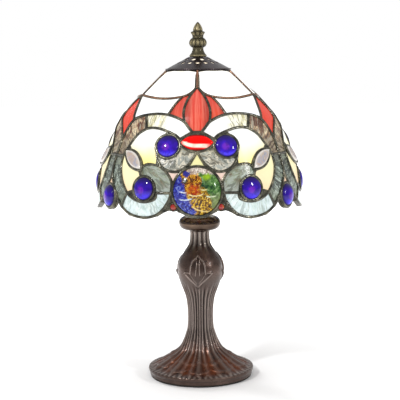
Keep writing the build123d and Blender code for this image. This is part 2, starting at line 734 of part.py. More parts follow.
with BuildPart() as cord_bushing:
    with BuildSketch(Plane.XZ.offset(-48.2)):
        with Locations((0, cord_height)):
            Circle(bushing_radius)
    extrude(amount=-(foot_radius - 48.2))
    with BuildSketch(Plane.XZ.offset(-foot_radius)):
        with Locations((0, cord_height)):
            Circle(3.5)
    extrude(amount=-1.0)
    with BuildSketch(Plane.XZ.offset(-40)):
        with Locations((0, cord_height)):
            Circle(cord_radius)
    extrude(amount=-30, mode=Mode.SUBTRACT)
    fillet(cord_bushing.faces().sort_by(Axis.Y)[-1].edges().sort_by(SortBy.RADIUS)[-1], 0.4)
cord_bushing.part.label = "cord_bushing"
export_step(cord_bushing.part, "parts/cord_bushing.step")
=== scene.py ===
import math

import bpy
import numpy as np
from mathutils import Matrix, Vector


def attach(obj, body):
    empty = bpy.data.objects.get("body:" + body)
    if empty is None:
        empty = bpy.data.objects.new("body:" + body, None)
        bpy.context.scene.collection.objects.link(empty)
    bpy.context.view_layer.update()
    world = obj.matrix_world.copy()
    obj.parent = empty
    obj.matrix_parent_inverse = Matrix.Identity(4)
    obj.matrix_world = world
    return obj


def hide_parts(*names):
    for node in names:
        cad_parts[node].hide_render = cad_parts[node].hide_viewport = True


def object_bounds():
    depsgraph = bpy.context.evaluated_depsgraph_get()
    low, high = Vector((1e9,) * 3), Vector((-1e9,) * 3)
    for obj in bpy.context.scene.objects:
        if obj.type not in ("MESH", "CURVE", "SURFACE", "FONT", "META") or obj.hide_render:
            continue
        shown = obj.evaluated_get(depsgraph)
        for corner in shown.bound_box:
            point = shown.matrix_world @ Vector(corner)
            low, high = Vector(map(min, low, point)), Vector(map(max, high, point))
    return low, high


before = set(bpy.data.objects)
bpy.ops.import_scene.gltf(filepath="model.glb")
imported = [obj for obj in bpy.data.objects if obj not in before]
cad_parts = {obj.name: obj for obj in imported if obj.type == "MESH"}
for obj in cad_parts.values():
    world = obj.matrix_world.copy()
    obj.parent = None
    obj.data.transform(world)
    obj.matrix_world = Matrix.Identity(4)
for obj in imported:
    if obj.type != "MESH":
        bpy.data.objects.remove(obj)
cad_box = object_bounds()
MM = 0.001
BLACK = (0.0, 0.0, 0.0)

# --- Shade surface, as (radius, height) in millimetres ---
SHADE_PROFILE = [
    (31.5, 308.5), (59.0, 283.0), (74.4, 266.0), (79.8, 255.5), (85.2, 241.5),
    (91.2, 226.5), (94.4, 216.5), (97.4, 202.0), (99.8, 180.0), (100.2, 164.0),
]


def profile_slope(index):
    above = SHADE_PROFILE[max(index - 1, 0)]
    below = SHADE_PROFILE[min(index + 1, len(SHADE_PROFILE) - 1)]
    return (below[0] - above[0]) / (below[1] - above[1])


def profile_radius(height):
    """Mean radius of the shade at a height, as a smooth curve through the knots."""
    index = 0
    while index < len(SHADE_PROFILE) - 2 and height < SHADE_PROFILE[index + 1][1]:
        index += 1
    (r0, z0), (r1, z1) = SHADE_PROFILE[index], SHADE_PROFILE[index + 1]
    span = z1 - z0
    t = (height - z0) / span
    blend = 3 * t**2 - 2 * t**3
    rise = (t**3 - 2 * t**2 + t) * span * profile_slope(index)
    fall = (t**3 - t**2) * span * profile_slope(index + 1)
    return r0 + (r1 - r0) * blend + rise + fall


CROWN_START = 240.0
CROWN_RISE = 43.0
CROWN_CORNER = 0.065
BELLY_CORNER = 0.015


def around(radius, turn, height):
    """Point at a turn, in radians, about the axis from the front."""
    return Vector((radius * math.sin(turn), -radius * math.cos(turn), height))


def shade_point(angle, height):
    """Point of the shade's outer face: six flat crowns at the top, nearly round below."""
    t = min(max((height - CROWN_START) / CROWN_RISE, 0.0), 1.0)
    corner = CROWN_CORNER * t * t * (3 - 2 * t) - BELLY_CORNER
    radius = profile_radius(height) * (1 + corner * math.cos(math.radians(6 * angle)))
    return around(radius, math.radians(angle), height)


def shade_normal(angle, height):
    across = shade_point(angle + 0.2, height) - shade_point(angle - 0.2, height)
    along = shade_point(angle, height + 0.2) - shade_point(angle, height - 0.2)
    return across.cross(along).normalized()


# --- Leading lines of one half motif, as points of (angle, height) ---
# Each line: half width at its start and end, copper tint with its painted glow at its start and
# end, its points
LEADS = {
    "front_seam": (1.05, 1.6, 1.0, 0.45, [(0, 306.5), (0, 299), (0, 290.2)]),
    "side_seam": (0.8, 0.9, 0.45, 0.35, [(60, 306.5), (60, 295), (60, 283.7)]),
    "petal_crown": (1.35, 1.25, 0.1, 0.3, [(1.1, 290.2), (4.9, 286.4), (9.0, 283.8),
        (13, 282.4)]),
    "white_crown": (1.0, 0.75, 0.45, 0.7, [(13, 282.4), (24, 280.8), (37.6, 280.6), (50.2, 282.2),
        (60, 283.7)]),
    "petal": (1.4, 1.35, 0.0, 0.0, [(1.1, 290.2), (5.8, 283.7), (8.9, 276), (9.6, 268),
        (8.4, 259.5)]),
    "tulip_side": (1.25, 1.3, 0.05, 0.1, [(13, 282.4), (18.3, 275.2), (21.6, 266)]),
    "side_petal": (1.3, 1.35, 0.05, 0.1, [(60, 283.7), (55.6, 276.5), (52.7, 269),
        (50.6, 260.6)]),
    "scroll_outer": (1.6, 1.6, 0.0, 0.0, [(2.9, 250.2), (5.6, 254.8), (8.4, 259.5), (14.5, 263.6),
        (21.6, 266), (31, 266.8), (40.3, 265.6), (45.9, 263.8), (50.6, 260.6), (56, 252),
        (60, 241), (60, 227.5), (60, 213), (58.4, 204.5), (54.7, 196), (50.1, 187.2),
        (46.2, 180.8), (38.8, 174.4), (29, 172.2), (21.8, 175.4), (17.6, 182), (15, 189.5),
        (14.2, 195.5)]),
    "scroll_inner": (1.45, 1.4, 0.0, 0.0, [(10.8, 243.8), (13.5, 247.4), (18.5, 250.6),
        (25, 253.2), (31, 254.0), (35.8, 253), (42.6, 247), (48.6, 235.5), (51.0, 227.5),
        (50.7, 217), (47.4, 205), (41.9, 193.8), (36.3, 188.6), (29.5, 186.6), (23.3, 189.6),
        (22.6, 195.2)]),
    "join_top": (1.25, 1.25, 0.0, 0.0, [(40.3, 265.6), (38, 259.3), (35.8, 253)]),
    "join_side": (1.25, 1.25, 0.0, 0.0, [(60, 227.5), (55.5, 227.6), (51.0, 227.5)]),
    "join_hip": (1.25, 1.25, 0.0, 0.0, [(46.2, 180.8), (44, 187.3), (41.9, 193.8)]),
    "join_hook": (1.25, 1.25, 0.0, 0.0, [(14.2, 195.5), (18.4, 195.5), (22.6, 195.2)]),
    "curl": (1.4, 1.35, 0.0, 0.0, [(0, 233), (3.2, 224.3), (8, 217), (13.6, 214.6), (19.4, 218.2),
        (23, 225.2), (24.4, 234), (22.6, 243.5), (18.5, 250.6)]),
    "hook": (1.35, 1.3, 0.0, 0.0, [(14.2, 195.5), (14.0, 206), (17.8, 215.4), (23.0, 220.3),
        (28.8, 221.2), (32.4, 218.0), (33.4, 212.5)]),
    "rim_globe": (1.5, 1.5, 0.0, 0.0, [(0, 173.6), (4, 174.6), (8, 177.9), (10.4, 179.4)]),
    "rim_jewel": (1.5, 1.5, 0.0, 0.0, [(52.7, 191.2), (53.2, 185.5), (54.7, 181), (57, 177.6),
        (60, 176.2)]),
}
UNMIRRORED = ("front_seam", "side_seam")

# --- Jewels: angle, height, half length, half width, turn in degrees, dome ---
JEWELS = {
    "red_navette": (0, 240.8, 15.2, 7.5, 0, 4.5),
    "upper_jewel": (17.9, 237.5, 10.3, 10.3, 0, 3.7),
    "lower_jewel": (29.9, 198.8, 10.3, 10.3, 0, 3.7),
    "rim_jewel": (60, 188.5, 10.3, 10.3, 0, 4.8),
    "globe_jewel": (0, 197.2, 21.6, 21.6, 0, 8.7),
    "bead_jewel": (12.7, 182.7, 2.8, 2.8, 0, 2.2),
    "clear_marquise": (40.1, 224.6, 15.6, 5.7, 34, 2.6),
}

# Angles of the motif's mirror lines: a jewel there is its own mirror image
ON_MIRROR = (0, 60)


def catmull(points, steps):
    """Points along a smooth curve through the given ones."""
    ends = [points[0]] + points + [points[-1]]
    result = []
    for p0, p1, p2, p3 in zip(ends, ends[1:], ends[2:], ends[3:]):
        for step in range(steps):
            t = step / steps
            result.append(tuple(
                0.5 * (2 * b + (c - a) * t + (2 * a - 5 * b + 4 * c - d) * t * t
                       + (3 * b - a - 3 * c + d) * t**3)
                for a, b, c, d in zip(p0, p1, p2, p3)
            ))
    return result + [points[-1]]


# --- Mesh helpers ---
def new_piece(name, vertices, faces, material, body, slot, replaces=(), **values):
    """Mesh object from points in millimetres, riding on a body, with values at its points."""
    mesh = bpy.data.meshes.new(name)
    mesh.from_pydata([tuple(c * MM for c in v) for v in vertices], [], faces)
    mesh.validate()
    mesh.update()
    mesh.polygons.foreach_set("use_smooth", [True] * len(mesh.polygons))
    mesh.materials.append(material)
    piece = bpy.data.objects.new(name, mesh)
    bpy.context.scene.collection.objects.link(piece)
    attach(piece, body)
    if replaces:
        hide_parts(*replaces)
    for key, numbers in values.items():
        attribute = mesh.attributes.new(key, "FLOAT", "POINT")
        attribute.data.foreach_set("value", np.asarray(numbers, np.float32))


def tube_faces(rows, columns, closed=False):
    """Quads of a tube of rows of points: its ends are capped, or joined if it is closed."""
    faces = []
    for r in range(rows if closed else rows - 1):
        here, there = r * columns, (r + 1) % rows * columns
        for c in range(columns):
            following = (c + 1) % columns
            faces.append((here + c, here + following, there + following, there + c))
    if not closed:
        last = (rows - 1) * columns
        faces.append(tuple(range(columns))[::-1])
        faces.append(tuple(range(last, last + columns)))
    return faces


def inside_out(faces):
    return [face[::-1] for face in faces]


def lathe(rows, columns):
    """Points of a solid of revolution from rows of radii: each row is (height, radii round)."""
    turns = [2 * math.pi * c / columns for c in range(columns)]
    return [tuple(around(radii[c], turn, height))
            for height, radii in rows for c, turn in enumerate(turns)]


def ellipse_tube(points, normals, half_widths, half_height, sides, closed=False):
    """Bead of solder along points: flat ellipse section, its short axis on the normals."""
    vertices, count = [], len(points)
    for i, (point, normal) in enumerate(zip(points, normals)):
        before = points[(i - 1) % count] if closed or i else point
        after = points[(i + 1) % count] if closed or i < count - 1 else point
        tangent = (after - before).normalized()
        side = tangent.cross(normal).normalized()
        lift = side.cross(tangent).normalized()
        for s in range(sides):
            turn = 2 * math.pi * s / sides
            vertices.append(tuple(point + side * math.cos(turn) * half_widths[i]
                                  + lift * math.sin(turn) * half_height))
    return vertices, tube_faces(count, sides, closed)


class Soup:
    """Vertices and faces of several shells, gathered for one mesh."""

    def __init__(self):
        self.vertices, self.faces, self.values = [], [], {}

    def add(self, vertices, faces, **values):
        start = len(self.vertices)
        self.vertices += vertices
        self.faces += [tuple(start + i for i in face) for face in faces]
        for name, value in values.items():
            self.values.setdefault(name, []).extend(value)


def six_ways(vertices, faces, mirrored=True):
    """Copies of a shell about the axis, each with its hand, and their mirror images if asked."""
    for third in range(3):
        turn = 2 * math.pi * third / 3
        cosine, sine = math.cos(turn), math.sin(turn)
        for hand in (1, -1) if mirrored else (1,):
            spun = [(hand * x * cosine - y * sine, hand * x * sine + y * cosine, z)
                    for x, y, z in vertices]
            yield spun, [face[::hand] for face in faces], hand


# --- Material helpers ---
class Graph:
    """A material's node tree, with short calls for the nodes it uses."""

    def __init__(self, name):
        self.material = bpy.data.materials.new(name)
        self.material.use_nodes = True
        self.tree = self.material.node_tree
        self.tree.nodes.clear()

    def node(self, kind, out, inputs, **settings):
        """Output of a new node whose inputs are linked, or set to numbers and colours."""
        made = self.tree.nodes.new("ShaderNode" + kind)
        for key, value in settings.items():
            setattr(made, key, value)
        for key, value in inputs.items():
            if hasattr(value, "is_output"):
                self.tree.links.new(value, made.inputs[key])
            else:
                colour = isinstance(value, tuple)
                made.inputs[key].default_value = (*value, 1.0) if colour else value
        return made.outputs[out]

    def place(self):
        return self.node("TexCoord", "Object", {})

    def attribute(self, name):
        return self.node("Attribute", "Fac", {}, attribute_name=name)

    def math(self, operation, a, b=0.0):
        return self.node("Math", 0, {0: a, 1: b}, operation=operation)

    def plus(self, a, b):
        return self.math("ADD", a, b)

    def minus(self, a, b):
        return self.math("SUBTRACT", a, b)

    def times(self, product, *factors):
        for factor in factors:
            product = self.math("MULTIPLY", product, factor)
        return product

    def length(self, x, y):
        return self.math("SQRT", self.plus(self.times(x, x), self.times(y, y)))

    def split(self):
        """The three coordinates of the object's own place."""
        return self.node("SeparateXYZ", 0, {0: self.place()}).node.outputs

    def join(self, x, y, z):
        return self.node("CombineXYZ", 0, {0: x, 1: y, 2: z})

    def noise(self, scale, detail=3.0, rough=0.5, distortion=0.0, vector=None):
        return self.node("TexNoise", "Fac", {
            "Vector": vector or self.place(), "Scale": scale, "Detail": detail,
            "Roughness": rough, "Distortion": distortion})

    def cells(self, scale, feature="DISTANCE_TO_EDGE"):
        return self.node("TexVoronoi", "Distance", {"Vector": self.place(), "Scale": scale},
                         feature=feature)

    def range(self, value, low, high, to_low=0.0, to_high=1.0):
        return self.node("MapRange", "Result", {
            "Value": value, "From Min": low, "From Max": high, "To Min": to_low,
            "To Max": to_high}, interpolation_type="SMOOTHSTEP")

    def ramp(self, value, stops):
        colour = self.node("ValToRGB", "Color", {"Fac": value})
        elements = colour.node.color_ramp.elements
        while len(elements) < len(stops):
            elements.new(0.5)
        for element, (position, tone) in zip(elements, stops):
            element.position = position
            element.color = (*tone, 1.0)
        return colour

    def cloud(self, scale, detail, dark, light):
        """Soft patches of two tones."""
        return self.ramp(self.noise(scale, detail), [(0.3, dark), (0.7, light)])

    def mix(self, factor, a, b):
        return self.node("Mix", 2, {"Factor": factor, 6: a, 7: b}, data_type="RGBA")

    def bump(self, height, strength, distance):
        return self.node("Bump", "Normal", {
            "Height": height, "Strength": strength, "Distance": distance})

    def finish(self, **sockets):
        inputs = {name.replace("_", " "): value for name, value in sockets.items()}
        shader = self.node("BsdfPrincipled", "BSDF", inputs)
        end = self.tree.nodes.new("ShaderNodeOutputMaterial")
        self.tree.links.new(shader, end.inputs["Surface"])
        return self.material

    def glow(self, colour, shadow, strength, **sockets):
        """Glass lit from inside: one colour for its glow and, darkened, for its body."""
        return self.finish(Base_Color=self.mix(shadow, colour, BLACK), Emission_Color=colour,
                           Emission_Strength=strength, **sockets)


# Middle of a scroll in the half motif: degrees round, metres from the axis, metres high
SCROLL_ANGLE = 33
SCROLL_RADIUS = 0.094
SCROLL_HEIGHT = 0.221


def folded_angle(g):
    """Angle round the shade folded into one half motif, in radians, and the angle itself."""
    x, y, _ = g.split()
    angle = g.math("ARCTAN2", x, g.times(y, -1.0))
    third = 2 * math.pi / 3
    turns = g.math("ROUND", g.math("DIVIDE", angle, third))
    return g.math("ABSOLUTE", g.minus(angle, g.times(turns, third))), angle


def scroll_place(g):
    """Turn and distance about the middle of a scroll, and the angle round the shade."""
    folded, angle = folded_angle(g)
    across = g.times(g.minus(folded, math.radians(SCROLL_ANGLE)), SCROLL_RADIUS)
    along = g.minus(g.split()[2], SCROLL_HEIGHT)
    return g.math("ARCTAN2", along, across), g.length(across, along), angle


def lit_glass(name, colour_of, glow, wave=0.35):
    """Opalescent art glass, lit from inside, with a softly waved face."""
    g = Graph(name)
    hills = g.noise(260.0, 2.0, 0.5, 0.4)
    return g.glow(colour_of(g), 0.62, glow, Roughness=0.3, IOR=1.5, Coat_Weight=0.1,
                  Coat_Roughness=0.06, Normal=g.bump(hills, wave, 0.0006))


def ripple_colour(stops, ripples, sway, dark, depth, tints=(), fade=None):
    """Streaks across a scroll's band: soft patches of colour, cut by fine wavering ripples.

    Each tint is a height range and the tone that the glass takes towards its second height.
    A fade is a range of the folded angle, in degrees, and the tone the glass clears to.
    """
    def build(g):
        turn, distance, angle = scroll_place(g)
        soft = g.join(g.times(turn, 2.4), g.times(distance, 50.0), g.times(angle, 2.3))
        patches = g.range(g.noise(1.7, 3.0, 0.6, 0.8, soft), 0.3, 0.7)
        wobble = g.minus(g.noise(50.0, 3.0, 0.6), 0.5)
        sharp = g.join(g.plus(g.times(turn, ripples), g.times(wobble, sway)),
                       g.times(distance, 32.0), g.times(angle, 3.0))
        fine = g.range(g.noise(1.6, 3.0, 0.65, 0.35, sharp), 0.34, 0.66)
        colour = g.ramp(g.plus(g.times(patches, 0.45), g.times(fine, 0.55)), stops)
        for low, high, tone in tints:
            colour = g.mix(g.range(g.split()[2], low, high, 0.0, 0.75), colour, tone)
        colour = g.mix(g.range(fine, 0.56, 0.8, 0.0, depth), colour, dark)
        colour = g.mix(g.range(fine, 0.3, 0.1, 0.0, depth), colour, stops[-1][1])
        if fade:
            start, end, tone = fade
            edge = g.plus(folded_angle(g)[0], g.times(wobble, 0.35))
            colour = g.mix(g.range(edge, math.radians(start), math.radians(end)), colour, tone)
        return colour
    return build


def upright_colour(top, bottom, high, low, streak=None, streak_amount=0.0, bright=90.0):
    """Colour that changes with height, with upright streaks drawn through it.

    Past the angle "bright", in degrees from the middle of the motif, the glass darkens.
    """
    def build(g):
        height = g.split()[2]
        cloud = g.times(g.minus(g.noise(40.0, 3.0), 0.5), 0.012)
        colour = g.mix(g.range(g.plus(height, cloud), high, low), top, bottom)
        if streak:
            folded, angle = folded_angle(g)
            upright = g.join(g.times(angle, 34.0), g.times(height, 26.0), 0.0)
            lines = g.noise(1.0, 3.0, 0.6, 0.15, upright)
            colour = g.mix(g.range(lines, 0.4, 0.6, 0.0, streak_amount), colour, streak)
            share = g.range(folded, math.radians(bright), math.radians(bright + 3.5), 0.0, 0.5)
            colour = g.mix(share, colour, (0.24, 0.02, 0.01))
        return colour
    return build


def dress(node, material):
    """Give a CAD node its material."""
    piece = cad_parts[node]
    piece.data.materials.clear()
    piece.data.materials.append(material)
    return piece


# --- Glass of the panes: colour, glow and, where it is not the usual one, the wave ---
GLASS = {
    "white_panel": (upright_colour((1.0, 0.96, 0.88), (1.0, 0.99, 0.96), 0.304, 0.29), 0.9, 0.15),
    "white_shoulder": (upright_colour(
        (1.0, 0.98, 0.95), (0.93, 0.96, 1.0), 0.28, 0.262), 0.78, 0.15),
    "tulip_petal": (upright_colour(
        (0.74, 0.05, 0.026), (0.74, 0.028, 0.006), 0.28, 0.252, (0.9, 0.19, 0.12), 0.8, 3.0), 0.5),
    "tulip_side": (upright_colour(
        (0.7, 0.05, 0.026), (0.8, 0.065, 0.008), 0.28, 0.258, (0.84, 0.15, 0.1), 0.6, 16.0), 0.48),
    "single_petal": (upright_colour(
        (0.8, 0.06, 0.03), (0.8, 0.045, 0.015), 0.28, 0.245, (0.86, 0.1, 0.06), 0.5), 0.5),
    "cream_band": (ripple_colour(
        [(0.22, (0.36, 0.33, 0.14)), (0.4, (0.84, 0.78, 0.46)), (0.58, (0.98, 0.95, 0.76)),
         (0.8, (1.0, 0.99, 0.92))], 9.0, 2.0, (0.24, 0.22, 0.09), 0.8,
        fade=(27.0, 18.0, (1.0, 1.0, 0.97))), 0.62, 0.6),
    "amber_band": (ripple_colour(
        [(0.26, (0.08, 0.03, 0.018)), (0.4, (0.24, 0.085, 0.05)), (0.48, (0.62, 0.4, 0.22)),
         (0.6, (1.0, 0.86, 0.56)), (0.82, (0.42, 0.37, 0.28))],
        12.0, 1.2, (0.045, 0.016, 0.012), 0.9, [(0.25, 0.236, (0.2, 0.175, 0.11))]), 0.5, 0.7),
    "grey_band": (ripple_colour(
        [(0.26, (0.03, 0.038, 0.03)), (0.4, (0.075, 0.092, 0.075)), (0.48, (0.2, 0.24, 0.2)),
         (0.6, (0.58, 0.68, 0.6)), (0.82, (0.26, 0.3, 0.22))], 12.0, 1.4, (0.02, 0.028, 0.022), 0.9,
        [(0.212, 0.226, (0.085, 0.075, 0.055)), (0.196, 0.184, (0.26, 0.3, 0.2))]),
        0.5, 0.7),
    "blue_band": (ripple_colour(
        [(0.22, (0.42, 0.53, 0.5)), (0.42, (0.62, 0.75, 0.73)), (0.58, (0.78, 0.86, 0.82)),
         (0.8, (0.8, 0.9, 0.93))], 10.0, 2.4, (0.3, 0.37, 0.34), 0.7), 0.6, 0.5),
    "green_hook": (ripple_colour(
        [(0.24, (0.13, 0.085, 0.04)), (0.4, (0.2, 0.21, 0.12)), (0.56, (0.33, 0.4, 0.3)),
         (0.78, (0.44, 0.5, 0.45))], 7.0, 2.4, (0.07, 0.075, 0.045), 0.7,
        [(0.208, 0.196, (0.42, 0.46, 0.42))]), 0.5, 0.6),
    "yellow_heart": (upright_colour((1.0, 1.0, 0.96), (1.0, 0.86, 0.28), 0.248, 0.22), 0.66, 0.15),
    "cream_heart": (upright_colour((1.0, 0.92, 0.55), (0.98, 0.74, 0.47), 0.222, 0.19), 0.6, 0.15),
    "ripple_scroll": (ripple_colour(
        [(0.24, (0.1, 0.105, 0.08)), (0.36, (0.34, 0.35, 0.3)), (0.52, (0.84, 0.76, 0.6)),
         (0.78, (0.4, 0.42, 0.38))], 6.0, 7.0, (0.085, 0.08, 0.055), 0.85,
        [(0.226, 0.24, (0.52, 0.47, 0.27))]), 0.5, 0.7),
    "cream_wedge": (upright_colour((0.86, 0.8, 0.38), (0.98, 0.94, 0.5), 0.23, 0.215), 0.58, 0.2),
    "peach_wedge": (upright_colour((0.88, 0.7, 0.6), (0.93, 0.64, 0.52), 0.22, 0.2), 0.55, 0.2),
    "rim_wedge": (upright_colour((0.93, 0.72, 0.52), (0.94, 0.68, 0.46), 0.22, 0.2), 0.55, 0.2),
}
for node, row in GLASS.items():
    dress(node, lit_glass("glass_" + node, *row))


# --- Metals and the other plain materials ---
def cast_metal(name, dark, light, roughness, scale=60.0, grain=0.25, metallic=0.9, coat=0.3):
    """Patinated metal: two tones in soft clouds, worn finely, with a thin lacquer."""
    g = Graph(name)
    cloud = g.noise(scale, 4.0, 0.6)
    colour = g.ramp(cloud, [(0.35, dark), (0.65, light)])
    rough = g.range(g.noise(scale * 6, 3.0, 0.6), 0.3, 0.7, roughness * 0.8, roughness * 1.3)
    return g.finish(
        Base_Color=colour, Metallic=metallic, Roughness=rough, Coat_Weight=coat,
        Coat_Roughness=0.12, Normal=g.bump(g.noise(900.0, 3.0), grain, 0.0002))


def soldered_lead(name):
    """Dark patinated solder; copper-toned where a piece is marked, partly copper foil and partly
    painted glare, with a painted glow.
    """
    g = Graph(name)
    dark = g.ramp(g.noise(150.0, 4.0, 0.6), [
        (0.32, (0.016, 0.016, 0.012)), (0.5, (0.058, 0.056, 0.04)), (0.7, (0.19, 0.175, 0.12))])
    # copper tone: partly copper foil, partly painted glare of the lit glass beside the seams; it
    # also colours the painted glow
    copper = g.ramp(g.noise(120.0, 3.0), [
        (0.35, (0.17, 0.065, 0.035)), (0.65, (0.4, 0.17, 0.085))])
    colour = g.mix(g.attribute("warm"), dark, copper)
    rough = g.range(g.noise(500.0, 3.0), 0.3, 0.7, 0.22, 0.42)
    # painted glow: the marked solder shines as if lit by the glass beside it
    glow = g.times(g.attribute("warm"), 0.22)
    return g.finish(
        Base_Color=colour, Metallic=0.8, Roughness=rough, Coat_Weight=0.25,
        Emission_Color=copper, Emission_Strength=glow,
        Normal=g.bump(g.noise(420.0, 3.0), 0.35, 0.0004))


SOLDER = soldered_lead("patina_lead")
BRONZE = cast_metal("bronze_cap", (0.026, 0.017, 0.022), (0.06, 0.043, 0.05), 0.26, coat=0.4)
# the cap's bronze painted lighter grey for its rolled edge: a painted highlight
ROLLED_HIGHLIT = cast_metal("bronze_rim_painted_highlight", (0.1, 0.085, 0.075), (0.17, 0.155, 0.135), 0.5, coat=0.0)
COLLAR = cast_metal("bronze_collar", (0.048, 0.03, 0.021), (0.12, 0.08, 0.055), 0.14, coat=0.15)
BRASS = cast_metal("brass", (0.5, 0.33, 0.11), (0.58, 0.39, 0.14), 0.24, grain=0.06)
STEEL = cast_metal("plated_steel", (0.32, 0.28, 0.2), (0.48, 0.43, 0.33), 0.3)
NICKEL = cast_metal("nickel", (0.5, 0.49, 0.46), (0.66, 0.64, 0.6), 0.22)
PHENOLIC = cast_metal("phenolic", (0.012, 0.011, 0.01), (0.03, 0.028, 0.026), 0.35, metallic=0.0)
FIBRE = cast_metal("fibre", (0.16, 0.1, 0.06), (0.24, 0.16, 0.1), 0.7, metallic=0.0, coat=0.0)
RUBBER = cast_metal("rubber", (0.01, 0.01, 0.01), (0.022, 0.022, 0.022), 0.55, metallic=0.0,
                    coat=0.0)
FELT = cast_metal("felt", (0.012, 0.01, 0.008), (0.026, 0.022, 0.018), 0.95, 700.0, 1.0,
                  metallic=0.0, coat=0.0)


def base_metal():
    """Reddish-brown bronze: near black in the grooves (patina and painted shade), rust low down,
    lighter on the ridges (wear and painted highlight), with painted sheen on the waist and the
    neck's flutes.
    """
    g = Graph("bronze_casting")
    relief, rust = g.attribute("relief"), g.attribute("rust")
    cloud = g.noise(55.0, 4.0, 0.6)
    body = g.ramp(cloud, [(0.3, (0.048, 0.028, 0.022)), (0.7, (0.105, 0.066, 0.052))])
    height = g.split()[2]
    # painted sheen: the waist made greyer, standing for reflected white light
    painted_sheen = g.times(g.range(height, 0.026, 0.05), g.range(height, 0.112, 0.092))
    colour = g.mix(g.times(painted_sheen, 0.75), body, (0.115, 0.092, 0.083))
    # near black in the grooves: patina, deepened with painted shade
    colour = g.mix(g.range(relief, 0.45, 0.05, 0.0, 0.95), colour, (0.008, 0.004, 0.003))
    rusty = g.times(rust, g.range(g.noise(70.0, 4.0, 0.65), 0.32, 0.52))
    colour = g.mix(g.times(rusty, 0.85), colour, (0.14, 0.036, 0.01))
    # painted highlight: grey-green on the crests of the neck's flutes
    neck = g.times(g.range(height, 0.122, 0.134), g.range(relief, 0.3, 0.9, 0.0, 0.65))
    colour = g.mix(neck, colour, (0.095, 0.105, 0.085))
    # lighter on the ridges and on the rim's beads: wear and a painted highlight
    reach = g.plus(g.range(height, 0.012, 0.045, 0.22, 0.75),
                   g.range(height, 0.0112, 0.01, 0.0, 0.5))
    wear_and_highlight = g.times(g.range(relief, 0.62, 1.0), reach)
    colour = g.mix(wear_and_highlight, colour, (0.3, 0.24, 0.21))
    grain = g.plus(g.noise(700.0, 3.0), g.times(cloud, 1.5))
    rough = g.range(g.noise(300.0, 3.0), 0.3, 0.7, 0.26, 0.46)
    return g.finish(Base_Color=colour, Metallic=0.8, Roughness=rough, Coat_Weight=0.2,
                    Coat_Roughness=0.15, Normal=g.bump(grain, 0.3, 0.0003))


def clear_bulb():
    g = Graph("bulb_clear")
    haze = g.cloud(60.0, 2.0, (1.0, 0.74, 0.38), (1.0, 0.84, 0.52))
    return g.glow(haze, 0.7, 0.85, Roughness=0.08, Coat_Weight=0.5)


def hot_wire():
    g = Graph("tungsten")
    heat = g.cloud(200.0, 2.0, (1.0, 0.62, 0.25), (1.0, 0.8, 0.5))
    return g.glow(heat, 0.0, 6.0, Roughness=0.4)


# Each material: the nodes with softened edges, and the others
WORN = (
    (STEEL, "harp_saddle top_locknut bottom_locknut bottom_washer bottom_plate",
     "harp_bow lamp_pipe"),
    (BRASS, "swivel_stud socket_cap socket_shell",
     "left_ferrule right_ferrule socket_screws screw_shell centre_contact"),
    (PHENOLIC, "socket_block", ""), (RUBBER, "cord_bushing", ""), (FIBRE, "", "socket_insulator"),
    (NICKEL, "", "bulb_cap bulb_tip"), (clear_bulb(), "", "bulb_glass bulb_stem"),
    (hot_wire(), "", "bulb_filament"), (FELT, "", "felt_pad"), (BRONZE, "", "vase_cap"),
    (SOLDER, "", "leading"), (COLLAR, "", "neck_collar"),
)
EDGE_ROUNDING = 0.0003
for material, softened, plain in WORN:
    for node in plain.split():
        dress(node, material)
    for node in softened.split():
        rounding = dress(node, material).modifiers.new("rounding", "BEVEL")
        rounding.width = EDGE_ROUNDING
        rounding.segments = 2
        rounding.limit_method = "ANGLE"

# --- Solder beads over the leading ---
BEAD_STEPS = 7
BEAD_SIDES = 10
BEAD_HALF_HEIGHT = 1.15
LEAD_FULLNESS = 0.88
OUTER_LINE = -0.15
INNER_LINE = -3.45
rng = np.random.default_rng(7)


def uneven(count, amount=0.07):
    """Slow random swelling along a hand-soldered bead."""
    knots = rng.uniform(-amount, amount, max(count // 4, 2) + 2)
    return 1.0 + np.interp(np.linspace(0, len(knots) - 1, count), range(len(knots)), knots)


beads = Soup()
for name, (width0, width1, warm0, warm1, points) in LEADS.items():
    run = catmull(points, BEAD_STEPS)
    share = np.linspace(0, 1, len(run))
    normals = [shade_normal(a, z) for a, z in run]
    # copper tint and painted glow along the line
    warm = np.repeat(warm0 + (warm1 - warm0) * share, BEAD_SIDES)
    for offset, face_share in ((OUTER_LINE, 1.0), (INNER_LINE, 0.85)):
        line = [shade_point(a, z) + normal * offset for (a, z), normal in zip(run, normals)]
        widths = LEAD_FULLNESS * (width0 + (width1 - width0) * share) * face_share
        shell = ellipse_tube(line, normals, widths * uneven(len(run)), BEAD_HALF_HEIGHT,
                             BEAD_SIDES)
        for vertices, faces, _ in six_ways(*shell, mirrored=name not in UNMIRRORED):
            beads.add(vertices, faces, warm=warm)


def lens_reach(half_length, half_width, turn):
    """Distance from the middle of a round or pointed jewel to its edge, in a direction."""
    if half_length == half_width:
        return half_length
    arc = (half_length**2 + half_width**2) / (2 * half_width)
    drop = arc - half_width
    s = abs(math.sin(turn))
    return math.sqrt(max(s * s * drop * drop + arc * arc - drop * drop, 0.0)) - s * drop


def seat_axes(angle, height, turn):
    """Middle, long direction, short direction and normal of a jewel's seat."""
    normal = shade_normal(angle, height)
    level = Vector((math.cos(math.radians(angle)), math.sin(math.radians(angle)), 0.0))
    level = (level - normal * level.dot(normal)).normalized()
    rising = normal.cross(level)
    cosine, sine = math.cos(math.radians(turn)), math.sin(math.radians(turn))
    along = level * cosine + rising * sine
    return shade_point(angle, height), along, normal.cross(along), normal


